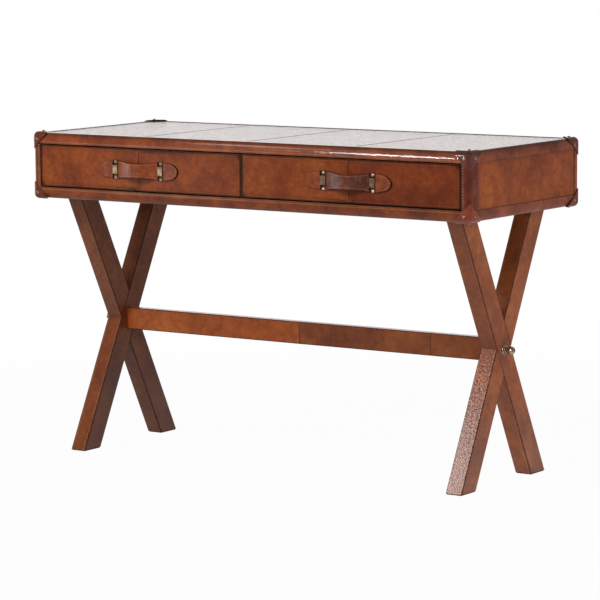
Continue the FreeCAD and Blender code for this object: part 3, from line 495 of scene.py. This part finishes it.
for node, slot in SLOT_OF.items():
    if slot not in CASE_RIMS:
        continue
    piece = cut_from(node)
    if node.startswith(("edge_strip_top", "edge_strip_bottom")):
        pad_binding(node)
    round_rims(TOP_RIM if node == "top_leather_panels" else CASE_RIMS[slot])
    if slot == "panel_leather":
        darken_margins_dye_and_shade(piece, panel_borders(node))
    if node.startswith("edge_strip_top"):
        paint_crown_shade(piece)
    finish_faces(piece, faces_out)
    finishes = [OWN_HIDES.get(node, FINISHES[slot]), burnished_edge]
    if node == "right_drawer_leather":
        # The right half of this drawer front is a redder hide, darkened also as painted shade where the
        # light falls off to the right.
        finishes.append(redder_hide_with_painted_falloff)
        seam = centre_x(node)
        for face in piece.data.polygons:
            if face.material_index == 0 and face.center.x > seam:
                face.material_index = 2
    hang(piece, BODY_OF[node], finishes, (node,))


# Legs and stretcher: hide drawn round the wood, rubbed dark along its corners

FEET = ("front", "back")
FRAME_RIM = 0.8 * MM
FLAT_AREA = 200 * MM * MM
STRETCHER_SEAMS = (0, 0.36)
# The hide is pinched in at a seam, to these shares of the bar's length, depth and height.
SEAM_HALF, SEAM_PINCH = 0.7 * MM, (1, 0.93, 0.97)


def is_flat(face):
    """Whether a face is one of the flat sides of a leg, and not a rounded corner or a rim."""
    return face.area > FLAT_AREA


for side in SIDES:
    for foot in FEET:
        node = f"{side}_leg_{foot}_foot"
        piece = cut_from(node)
        round_rims(FRAME_RIM)
        finish_faces(piece, is_flat)
        hang(piece, BODY_OF[node], (frame_hide, rubbed_edge), (node,))

bar_low, bar_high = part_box("stretcher")
bar_middle = (bar_low + bar_high) / 2
piece = cut_from("stretcher")
round_rims(FRAME_RIM)
for place in STRETCHER_SEAMS:
    bpy.ops.mesh.select_all(action="SELECT")
    bpy.ops.mesh.bisect(plane_co=(place, 0, 0), plane_no=(1, 0, 0))
    bpy.ops.mesh.bevel(offset=SEAM_HALF, segments=2, profile=0.5, affect="EDGES")
    pick("VERT", lambda vertex: abs(vertex.co.x - place) < SEAM_HALF / 4)
    bpy.ops.transform.resize(value=SEAM_PINCH, center_override=bar_middle)
finish_faces(piece, is_flat)
for face in piece.data.polygons:
    if min(abs(face.center.x - place) for place in STRETCHER_SEAMS) < SEAM_HALF:
        face.material_index = 1
    elif face.material_index == 0 and face.center.x > STRETCHER_SEAMS[0]:
        face.material_index = 2
# Two hides cover the bar, and the left one is lighter.
hang(piece, BODY_OF["stretcher"], (bar_hide, rubbed_edge, frame_hide),
     ("stretcher",))


# Strap handles: a tongue, a neck under each keeper, and a waisted bow that stands off the drawer

NECK_START, NECK_END, NECK_HALF = 57.5 * MM, 72.5 * MM, 8 * MM
WAIST_HALF, STRAP_HIDE, BOW_END = 16.3 * MM, 4 * MM, 56 * MM
# The powers in the outline of a tongue: how square its shoulders are, and how blunt its tip
TONGUE_SHOULDER, TONGUE_TIP = 2.3, 0.52
TONGUE_COLUMNS, NECK_COLUMNS, BOW_COLUMNS = 8, 3, 24
STRAP_COLUMNS = 2 * (TONGUE_COLUMNS + NECK_COLUMNS) + BOW_COLUMNS
strap_low, strap_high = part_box("right_handle_strap")
strap_middle = (strap_low + strap_high) / 2
STRAP_HALF = (strap_high.x - strap_low.x) / 2
TONGUE_HALF = (strap_high.z - strap_low.z) / 2
drawer_face = strap_high.y
BOW_RISE = strap_high.y - strap_low.y - STRAP_HIDE
BOW_RADIUS = (BOW_END ** 2 + BOW_RISE ** 2) / (4 * BOW_RISE)
NECK_SHARE = NECK_HALF / TONGUE_HALF
# Heights of the strap's rows as shares of its half height; the neck is as wide as the middle rows.
ROWS = [-1, -0.8, -0.6, -NECK_SHARE, -NECK_SHARE / 2, 0, NECK_SHARE / 2, NECK_SHARE, 0.6, 0.8, 1]


def bow(x):
    """How far the strap stands off the drawer, in three arcs."""
    away = abs(x)
    if away >= BOW_END:
        return 0
    if away > BOW_END / 2:
        return BOW_RADIUS - math.sqrt(BOW_RADIUS ** 2 - (BOW_END - away) ** 2)
    return BOW_RISE - BOW_RADIUS + math.sqrt(BOW_RADIUS ** 2 - away ** 2)


def waist(x):
    """Half the height of the strap between its necks."""
    return WAIST_HALF + (TONGUE_HALF - WAIST_HALF) * (x / NECK_START) ** 2


def tongue_end(share, inset=0):
    """Where the rounded outline of a tongue lies, at a share of its half height."""
    return NECK_END + (STRAP_HALF - NECK_END - inset) * (1 - abs(share) ** TONGUE_SHOULDER) ** TONGUE_TIP


def strap_place(column, row):
    """The place along and across the strap of one grid point, from the middle of the strap."""
    side = -1 if column < STRAP_COLUMNS / 2 else 1
    step = min(column, STRAP_COLUMNS - column)
    share = ROWS[row]
    if step <= TONGUE_COLUMNS:
        end = tongue_end(share)
        return side * (end + (NECK_END - end) * step / TONGUE_COLUMNS), share * TONGUE_HALF
    if step <= TONGUE_COLUMNS + NECK_COLUMNS:
        part = (step - TONGUE_COLUMNS) / NECK_COLUMNS
        return side * (NECK_END + (NECK_START - NECK_END) * part), share * TONGUE_HALF
    part = (step - TONGUE_COLUMNS - NECK_COLUMNS) / (BOW_COLUMNS / 2)
    x = side * NECK_START * (1 - part)
    return x, share * waist(x)


def make_strap(side):
    """Bend a grid to the strap's outline and bow, cut it out beside the necks and thicken it."""
    bpy.ops.object.select_all(action="DESELECT")
    bpy.ops.mesh.primitive_grid_add(x_subdivisions=STRAP_COLUMNS, y_subdivisions=len(ROWS) - 1, size=2)
    strap = bpy.context.object
    strap.name = f"{side}_strap_handle"
    middle_x = centre_x(f"{side}_handle_strap")
    for vertex in strap.data.vertices:
        column = round((vertex.co.x + 1) / 2 * STRAP_COLUMNS)
        row = round((vertex.co.y + 1) / 2 * (len(ROWS) - 1))
        x, z = strap_place(column, row)
        vertex.co = (middle_x + x, drawer_face - STRAP_HIDE / 2 - bow(x), strap_middle.z + z)

    def beside_neck(face):
        spot = face.calc_center_median()
        return NECK_START < abs(spot.x - middle_x) < NECK_END and abs(spot.z - strap_middle.z) > NECK_HALF

    edit(strap)
    pick("FACE", beside_neck)
    bpy.ops.mesh.delete(type="FACE")
    bpy.ops.mesh.select_all(action="SELECT")
    bpy.ops.mesh.remove_doubles(threshold=0.01 * MM)
    bpy.ops.mesh.normals_make_consistent(inside=False)
    bpy.ops.object.mode_set(mode="OBJECT")
    for finish in (strap_hides[side], burnished_edge, strap_hides["left"]):
        strap.data.materials.append(finish)
    wall = strap.modifiers.new("hide_thickness", "SOLIDIFY")
    wall.thickness = STRAP_HIDE
    wall.offset = 0
    wall.material_offset_rim = 1
    rim = strap.modifiers.new("rubbed_rim", "BEVEL")
    rim.width = 1.1 * MM
    rim.segments = 2
    rim.angle_limit = math.radians(50)
    rim.material = 1
    for modifier in (wall, rim):
        bpy.ops.object.modifier_apply(modifier=modifier.name)
    # The tongues of both straps take the left strap's redder hide.
    for face in strap.data.polygons:
        if face.material_index == 0 and abs(face.center.x - middle_x) > NECK_END:
            face.material_index = 2
    hang(strap, f"{side}_drawer", (), (f"{side}_handle_strap",))


for side in SIDES:
    make_strap(side)


# Stitching: each stitch is a short slanting bead of thread, half sunk in the hide

def joined(prototype, places, name):
    """Copies of a prototype's mesh at several places, joined into one piece; the prototype goes."""
    made = []
    for place in places:
        piece = bpy.data.objects.new(name, prototype.data.copy())
        piece.data.transform(place)
        scene.collection.objects.link(piece)
        made.append(piece)
    bpy.data.objects.remove(prototype)
    bpy.ops.object.select_all(action="DESELECT")
    for piece in made:
        piece.select_set(True)
    bpy.context.view_layer.objects.active = made[0]
    bpy.ops.object.join()
    return made[0]


PITCH, STITCH_LENGTH, STITCH_WIDTH, STITCH_RISE = 6.5 * MM, 3.6 * MM, 1.2 * MM, 0.5 * MM
STITCH_INSET = 4.5 * MM
# A bead is a round ball drawn out to a stitch and turned a little out of its row.
LEAN = Matrix.Rotation(math.radians(12), 4, "Z")
BEAD = LEAN @ Matrix.Diagonal((STITCH_LENGTH / 2, STITCH_WIDTH / 2, STITCH_RISE, 1))
FRONT, UP, RIGHT = Vector((0, -1, 0)), Vector((0, 0, 1)), Vector((1, 0, 0))


def make_stitch():
    bpy.ops.object.select_all(action="DESELECT")
    bpy.ops.mesh.primitive_uv_sphere_add(segments=6, ring_count=4, radius=1)
    return bpy.context.object


def laid_along(place, heading, normal):
    """Where a stitch goes: its place on a face, the way its row runs, and the way the face looks."""
    across = normal.cross(heading).normalized()
    turned = Matrix((heading, across, heading.cross(across))).transposed().to_4x4()
    return Matrix.Translation(place) @ turned @ BEAD


def stitch_rows(name, body, thread, rows):
    """Rows of stitches from a start to an end on faces with the given outward normals, as one piece."""
    made = []
    for start, end, normal in rows:
        run = end - start
        count = max(1, round(run.length / PITCH))
        row = make_stitch()
        row.data.transform(laid_along(start + run / count / 2, run.normalized(), normal))
        repeat = row.modifiers.new("repeat", "ARRAY")
        repeat.use_relative_offset = False
        repeat.use_constant_offset = True
        repeat.constant_offset_displace = run / count
        repeat.count = count
        bpy.ops.object.modifier_apply(modifier=repeat.name)
        made.append(row)
    for row in made:
        row.select_set(True)
    bpy.context.view_layer.objects.active = made[0]
    bpy.ops.object.join()
    made[0].name = name
    hang(made[0], body, (thread,), smooth=80)


def framed(low, high, inset, y):
    """Four rows round a rectangle on a front face, a little inside its border."""
    left, right = low.x + inset, high.x - inset
    bottom, top = low.z + inset, high.z - inset
    corners = [Vector((x, y, z)) for x, z in
               ((left, bottom), (right, bottom), (right, top), (left, top))]
    return [(corners[i], corners[(i + 1) % 4], FRONT) for i in range(4)]


for side in SIDES:
    low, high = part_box(f"{side}_drawer_leather")
    stitch_rows(f"{side}_drawer_stitching", f"{side}_drawer", brown_thread,
                framed(low, high, STITCH_INSET, low.y))

rail_rows, end_rows = [], []
for z in (opening_roof + STITCH_INSET, opening_floor - STITCH_INSET):
    rail_rows.append((Vector((-opening_side, case_low.y, z)), Vector((opening_side, case_low.y, z)), FRONT))
for sign in (-1, 1):
    x = sign * (opening_side + STITCH_INSET)
    rail_rows.append((Vector((x, case_low.y, opening_floor)), Vector((x, case_low.y, opening_roof)), FRONT))
    x = case_low.x if sign < 0 else case_high.x
    y = side_strip_edge - STITCH_INSET
    end_rows.append((Vector((x, y, opening_floor)), Vector((x, y, opening_roof)), sign * RIGHT))
stitch_rows("front_stitching", "desk_frame", pale_thread, rail_rows)
stitch_rows("end_stitching", "desk_frame", brown_thread, end_rows)


# The legs are this wide, measured level from back to front.
LEG_WIDTH = 62 * MM


def leg_rows(side, foot):
    """Two rows on each narrow face of a leg, which stop where the other leg crosses it.

    The rows on its instep, the lower face that looks up, are apart from the others.
    """
    low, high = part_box(f"{side}_leg_{foot}_foot")
    middle_y = (low.y + high.y) / 2
    reach = (high.y - low.y) / 2
    inner = reach - LEG_WIDTH
    lean = -1 if foot == "front" else 1
    height = high.z - low.z
    slope = (reach + inner) / height
    rows = []
    for start, sign in ((inner, 1), (reach, -1)):
        normal = Vector((0, lean * sign * height, sign * (reach + inner))).normalized()
        crossed = sorted(high.z - (start + other) / (2 * slope) for other in (inner, reach))
        for bottom, top in ((low.z, crossed[0]), (crossed[1], high.z)):
            for x in (low.x + STITCH_INSET, high.x - STITCH_INSET):
                ends = [Vector((x, middle_y - lean * (start - slope * (high.z - z)), z))
                        for z in (bottom, top)]
                rows.append((ends[0], ends[1], normal))
    return rows[:2], rows[2:]


for side in SIDES:
    for foot in FEET:
        instep, others = leg_rows(side, foot)
        # Pale thread on the instep is a painted highlight, for the light that upward face catches.
        stitch_rows(f"{side}_leg_{foot}_instep_stitching", "desk_frame", pale_thread, instep)
        stitch_rows(f"{side}_leg_{foot}_foot_stitching", "desk_frame", brown_thread, others)


STRAP_INSET = 3.6 * MM
# The points that lead a row of stitches round a tongue, and along the bow as far as its necks
TONGUE_SHARES = [step / 24 for step in range(-22, 23)]
ROW_REACH = NECK_START * 0.93
BOW_PLACES = [ROW_REACH * step / 20 for step in range(-20, 21)]


def even_stitches(points):
    """Stitches at an even pitch along a line of points on the front of a strap."""
    steps = list(zip(points, points[1:]))
    whole = sum((end - start).length for start, end in steps)
    count = round(whole / PITCH)
    places = []
    for number in range(count):
        left = (number + 0.5) * whole / count
        for start, end in steps:
            length = (end - start).length
            if left <= length:
                places.append(laid_along(start.lerp(end, left / length), (end - start).normalized(), FRONT))
                break
            left -= length
    return places


for side in SIDES:
    middle_x = centre_x(f"{side}_handle_strap")
    places = []
    for sign in (-1, 1):
        tongue = [Vector((middle_x + sign * tongue_end(share, STRAP_INSET), drawer_face - STRAP_HIDE,
                          strap_middle.z + share * (TONGUE_HALF - STRAP_INSET))) for share in TONGUE_SHARES]
        edge = [Vector((middle_x + x, drawer_face - STRAP_HIDE - bow(x),
                        strap_middle.z + sign * (waist(x) - STRAP_INSET))) for x in BOW_PLACES]
        places += even_stitches(tongue) + even_stitches(edge)
    stitching = joined(make_stitch(), places, f"{side}_strap_stitching")
    hang(stitching, f"{side}_drawer", (tan_thread,), smooth=80)


# Handle fittings: brass keepers bridged over the necks, and slotted round-head screws

KEEPER_SPACING, KEEPER_WIDTH, BRIDGE_HEIGHT, FOOT_LENGTH = 130 * MM, 13 * MM, 19 * MM, 13.5 * MM
KEEPER_METAL, BRIDGE_LIFT, BRIDGE_CROWN, FOOT_ROUND = 2 * MM, 5.5 * MM, 0.15 * MM, 3.5 * MM
BRIDGE_END, FOOT_TAPER = 0.48 * BRIDGE_HEIGHT, 0.85
SCREW_HEIGHT, SCREW_HEAD, SCREW_DOME = 18 * MM, 8.5 * MM, 3.4 * MM
SLOT_HALF, SLOT_DEPTH = 0.6 * MM, SCREW_DOME / 3
# Fittings are modelled lying flat with +Z outwards, then stood up to face the front.
STAND = Matrix.Rotation(math.radians(90), 4, "X")


def make_keeper():
    """A brass strip raised in a bridge, with a rounded foot at each end."""
    bpy.ops.object.select_all(action="DESELECT")
    bpy.ops.mesh.primitive_plane_add(size=1)
    keeper = bpy.context.object
    edit(keeper)
    bpy.ops.transform.resize(value=(KEEPER_WIDTH, BRIDGE_HEIGHT, 1), center_override=(0, 0, 0))
    bpy.ops.transform.translate(value=(0, 0, BRIDGE_LIFT))
    for share in (-0.5, 0, 0.5):
        bpy.ops.mesh.select_all(action="SELECT")
        bpy.ops.mesh.bisect(plane_co=(0, share * BRIDGE_HEIGHT / 2, 0), plane_no=(0, 1, 0))
        pick("VERT", lambda vertex: abs(vertex.co.y - share * BRIDGE_HEIGHT / 2) < 0.1 * MM)
        bpy.ops.transform.translate(value=(0, 0, BRIDGE_CROWN * (1 - share * share)))
    step_down = (0, 0, KEEPER_METAL / 2 - BRIDGE_LIFT)
    for sign in (-1, 1):
        pick("EDGE", lambda edge: all(vertex.co.y * sign > BRIDGE_END for vertex in edge.verts))
        bpy.ops.mesh.extrude_edges_move(TRANSFORM_OT_translate={"value": step_down})
        bpy.ops.mesh.extrude_edges_move(TRANSFORM_OT_translate={"value": (0, sign * FOOT_LENGTH, 0)})
        bpy.ops.transform.resize(value=(FOOT_TAPER, 1, 1), center_override=(0, 0, 0))
        bpy.ops.mesh.bevel(offset=FOOT_ROUND, segments=4, affect="VERTICES")
    bpy.ops.mesh.select_all(action="SELECT")
    bpy.ops.mesh.normals_make_consistent(inside=False)
    bpy.ops.object.mode_set(mode="OBJECT")
    wall = keeper.modifiers.new("brass_thickness", "SOLIDIFY")
    wall.thickness = KEEPER_METAL
    wall.offset = 0
    rim = keeper.modifiers.new("filed_edges", "BEVEL")
    rim.width = 0.8 * MM
    rim.segments = 2
    rim.angle_limit = math.radians(40)
    for modifier in (wall, rim):
        bpy.ops.object.modifier_apply(modifier=modifier.name)
    return keeper


def make_screw_head():
    """A half ball pressed to a low dome, with a slot cut across it."""
    bpy.ops.object.select_all(action="DESELECT")
    bpy.ops.mesh.primitive_uv_sphere_add(segments=20, ring_count=12, radius=1)
    head = bpy.context.object
    edit(head)
    bpy.ops.mesh.bisect(plane_co=(0, 0, 0), plane_no=(0, 0, 1), clear_inner=True, use_fill=True)
    bpy.ops.mesh.select_all(action="SELECT")
    bpy.ops.transform.resize(value=(SCREW_HEAD / 2, SCREW_HEAD / 2, SCREW_DOME), center_override=(0, 0, 0))
    for sign in (-1, 1):
        bpy.ops.mesh.select_all(action="SELECT")
        bpy.ops.mesh.bisect(plane_co=(sign * SLOT_HALF, 0, 0), plane_no=(1, 0, 0))
    pick("FACE", lambda face: abs(face.calc_center_median().x) < SLOT_HALF and face.normal.z > 0.35)
    bpy.ops.mesh.extrude_region_move(TRANSFORM_OT_translate={"value": (0, 0, -SLOT_DEPTH)})
    bpy.ops.object.mode_set(mode="OBJECT")
    return head


for side in SIDES:
    middle_x = centre_x(f"{side}_handle_strap")
    spots = [Vector((middle_x + sign * KEEPER_SPACING / 2, drawer_face, strap_middle.z)) for sign in (-1, 1)]
    keepers = joined(make_keeper(), [Matrix.Translation(spot) @ STAND for spot in spots],
                     f"{side}_brass_keepers")
    # The raised bridges are bright, rubbed brass and the feet dark tarnish; the dark feet are also partly
    # painted shade beside the bridges.
    finish_faces(keepers, lambda face: drawer_face - face.center.y > BRIDGE_LIFT - KEEPER_METAL)
    hang(keepers, f"{side}_drawer", (keeper_brasses_painted_glint_and_shade[side], antique_brass),
         (f"{side}_handle_keepers",))
    heads = []
    for number, spot in enumerate(spots):
        for sign in (-1, 1):
            seat = spot + FRONT * KEEPER_METAL + UP * sign * SCREW_HEIGHT
            # No two slots end up at the same angle when screws are driven home.
            turn = Matrix.Rotation(math.radians(35 + 55 * number + 20 * sign), 4, "Z")
            heads.append(Matrix.Translation(seat) @ STAND @ turn)
    screws = joined(make_screw_head(), heads, f"{side}_round_head_screws")
    hang(screws, f"{side}_drawer", (screw_brass,), (f"{side}_handle_screws",))


# Studio: floor, surroundings, lights and camera

FLOOR_RADIUS = 3.2
bpy.ops.object.select_all(action="DESELECT")
bpy.ops.mesh.primitive_circle_add(vertices=96, radius=FLOOR_RADIUS, fill_type="NGON")
floor = bpy.context.object
floor.name = "studio_floor"
floor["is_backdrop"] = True
material, tree = new_material("white_paper_floor")
place = add(tree, "ShaderNodeTexCoord", {}, {}).outputs["Object"]
away = add(tree, "ShaderNodeVectorMath", {"operation": "LENGTH"}, {0: place}).outputs["Value"]
rays = add(tree, "ShaderNodeLightPath", {}, {})
# To the eye the paper is white, with a trace of the desk's shadow that fades out far from it.
paper = add(tree, "ShaderNodeBsdfDiffuse", {}, {"Color": grey(0.3)}).outputs[0]
white = add(tree, "ShaderNodeEmission", {}, {"Color": grey(1), "Strength": 1}).outputs[0]
far = add(tree, "ShaderNodeMapRange", {"interpolation_type": "SMOOTHSTEP"},
          {"Value": away, "From Min": 0.9, "From Max": 2.6, "To Min": 0.975, "To Max": 1}).outputs[0]
clear = add(tree, "ShaderNodeMath", {"operation": "MULTIPLY"},
            {0: rays.outputs["Is Camera Ray"], 1: far}).outputs[0]
seen = add(tree, "ShaderNodeMixShader", {}, {0: clear, 1: paper, 2: white}).outputs[0]
# For light the paper glows, with no lamp on it: painted shade under the desk, and a painted pool of light on
# its right.
painted_bounce_glow = add(tree, "ShaderNodeMapRange", {"interpolation_type": "SMOOTHSTEP"},
             {"Value": away, "From Min": 0.6, "From Max": 2, "To Min": 0.15, "To Max": 0.95}).outputs[0]
beside = add(tree, "ShaderNodeVectorMath", {"operation": "DISTANCE"},
             {0: place, 1: (1.05, -0.05, 0)}).outputs["Value"]
pool = add(tree, "ShaderNodeMapRange", {"interpolation_type": "SMOOTHSTEP"},
           {"Value": beside, "From Min": 0.75, "From Max": 0.35, "To Min": 0, "To Max": 1.5}).outputs[0]
strength = add(tree, "ShaderNodeMath", {"operation": "ADD"}, {0: painted_bounce_glow, 1: pool}).outputs[0]
lit = add(tree, "ShaderNodeEmission", {}, {"Color": grey(1), "Strength": strength}).outputs[0]
# In gloss it glows grey, a painted reflection that is paler near the desk.
near = add(tree, "ShaderNodeMapRange", {"interpolation_type": "SMOOTHSTEP"},
           {"Value": away, "From Min": 0.8, "From Max": 1.5, "To Min": 0.6, "To Max": 0.28}).outputs[0]
mirrored = add(tree, "ShaderNodeEmission", {}, {"Color": grey(1), "Strength": near}).outputs[0]
shown = add(tree, "ShaderNodeMixShader", {},
            {0: rays.outputs["Is Glossy Ray"], 1: seen, 2: mirrored}).outputs[0]
surface = add(tree, "ShaderNodeMixShader", {},
              {0: rays.outputs["Is Diffuse Ray"], 1: shown, 2: lit}).outputs[0]
add(tree, "ShaderNodeOutputMaterial", {}, {"Surface": surface})
floor.data.materials.append(material)

world = bpy.data.worlds.new("studio")
scene.world = world
world.use_nodes = True
tree = world.node_tree
tree.nodes.clear()
rays = add(tree, "ShaderNodeLightPath", {}, {})
way = add(tree, "ShaderNodeTexCoord", {}, {}).outputs["Generated"]
height = add(tree, "ShaderNodeSeparateXYZ", {}, {0: way}).outputs["Z"]
below = add(tree, "ShaderNodeMapRange", {"interpolation_type": "SMOOTHSTEP"},
            {"Value": height, "From Min": 0.02, "From Max": -0.02}).outputs[0]
# Gloss sees a low white wall to the left and behind, in a dim room.
facing = add(tree, "ShaderNodeVectorMath", {"operation": "DOT_PRODUCT"},
             {0: way, 1: (-0.95, 0.3, 0)}).outputs["Value"]
wall = 1
for value, dark, bright in ((facing, 0.48, 0.72), (height, -0.35, -0.2), (height, 0.34, 0.2)):
    part = add(tree, "ShaderNodeMapRange", {"interpolation_type": "SMOOTHSTEP"},
               {"Value": value, "From Min": dark, "From Max": bright}).outputs[0]
    wall = add(tree, "ShaderNodeMath", {"operation": "MULTIPLY"}, {0: wall, 1: part}).outputs[0]
dim = add(tree, "ShaderNodeMix", {}, {0: below, 2: 0.22, 3: 0.28}).outputs[0]
gloss = add(tree, "ShaderNodeMix", {}, {0: wall, 2: dim, 3: 1.22}).outputs[0]
# The room gives a little light from all round, and more from below the horizon, as off pale paper.
room = add(tree, "ShaderNodeMix", {}, {0: below, 2: 0.08, 3: 0.3}).outputs[0]
lit = add(tree, "ShaderNodeMix", {}, {0: rays.outputs["Is Diffuse Ray"], 2: gloss, 3: room}).outputs[0]
# To the eye the surroundings are white.
shown = add(tree, "ShaderNodeMix", {}, {0: rays.outputs["Is Camera Ray"], 2: lit, 3: 1}).outputs[0]
sky = add(tree, "ShaderNodeBackground", {}, {"Color": grey(1), "Strength": shown}).outputs[0]
add(tree, "ShaderNodeOutputWorld", {}, {"Surface": sky})


def softbox(name, place, target, width, height, power, diffuse=True, glossy=True, spread=180):
    """A soft rectangular lamp that looks at a target.

    It may light diffuse surfaces, show in gloss, or both, and its beam may be narrow.
    """
    lamp = bpy.data.lights.new(name, "AREA")
    lamp.shape = "RECTANGLE"
    lamp.size, lamp.size_y = width, height
    lamp.energy = power
    lamp.spread = math.radians(spread)
    made = bpy.data.objects.new(name, lamp)
    scene.collection.objects.link(made)
    made.location = place
    made.rotation_euler = (Vector(place) - Vector(target)).to_track_quat("Z", "Y").to_euler()
    made.visible_diffuse = diffuse
    made.visible_glossy = glossy
    return made


def light_only(lamp, pieces):
    """Keep a lamp off all other pieces, so that it leaves no glare on the top, seen from behind."""
    lit = bpy.data.collections.new(f"lit_by_{lamp.name}")
    for piece in pieces:
        lit.objects.link(piece)
    lamp.light_linking.receiver_collection = lit


# Broad lamps light the desk from the front, the right and the back.
softbox("key_softbox", (-0.8, -1.68, 1.36), (0.2, -0.1, 0.4), 0.72, 0.9, 10.5, glossy=False)
softbox("front_softbox", (-0.6, -2.5, 2.7), (0, 0, 0.5), 3.0, 1.2, 66, glossy=False)
softbox("right_softbox", (1.5, -0.1, 0.8), (0.5, 0, 0.3), 1.4, 0.7, 7.5, glossy=False)
softbox("back_softbox", (-0.8, 3.0, 1.7), (0, 0, 0.5), 2.4, 1.4, 36, glossy=False)
# Lamps that show only in gloss give the polished leather and brass their highlights.
softbox("leg_highlight", (-0.84, -1.64, 1.33), (0.494, -0.214, -0.055), 0.72, 0.45, 0.55,
        diffuse=False, spread=30)
rail_lamp = softbox("rail_highlight", (-0.48, -1.64, 0.99), (0.5, -0.1, 0.72), 0.34, 0.1, 0.6,
                    diffuse=False, spread=46)
softbox("left_handle_highlight", (-1.25, -1.64, 0.5), (-0.29, -0.25, 0.69), 0.36, 0.36, 0.4,
        diffuse=False)
brass_lamp = softbox("brass_highlight", (1.1, -1.9, 1.3), (0.56, -0.05, 0.4), 0.5, 0.5, 1.4,
                     diffuse=False, spread=42)
RAIL_PIECES = ("edge_strip_top_front", "edge_strip_front_right", "corner_cap_top_front_right")
light_only(rail_lamp, [bpy.data.objects[f"{node}_hide"] for node in RAIL_PIECES])
light_only(brass_lamp, [piece for piece in bpy.data.objects if piece.type == "MESH"
                        and any("brass" in finish.name for finish in piece.data.materials if finish)])

# The camera: a long lens a little above the desk top, off its right front corner
AIM, DISTANCE = Vector((-0.0048, 0.00755, 0.37875)), 7.165
azimuth, elevation, roll = math.radians(34.4), math.radians(7.31), math.radians(-0.4)
along = math.cos(elevation)
back = Vector((math.sin(azimuth) * along, -math.cos(azimuth) * along, math.sin(elevation)))
right = Vector((math.cos(azimuth), math.sin(azimuth), 0))
up = back.cross(right)
right, up = right * math.cos(roll) + up * math.sin(roll), up * math.cos(roll) - right * math.sin(roll)
lens = bpy.data.cameras.new("camera")
lens.sensor_width = 36
lens.lens = 184.094
camera = bpy.data.objects.new("camera", lens)
scene.collection.objects.link(camera)
turned = Matrix((right, up, back)).transposed().to_4x4()
camera.matrix_world = Matrix.Translation(AIM + back * DISTANCE) @ turned
scene.camera = camera
scene.view_settings.view_transform = "Standard"

low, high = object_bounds()
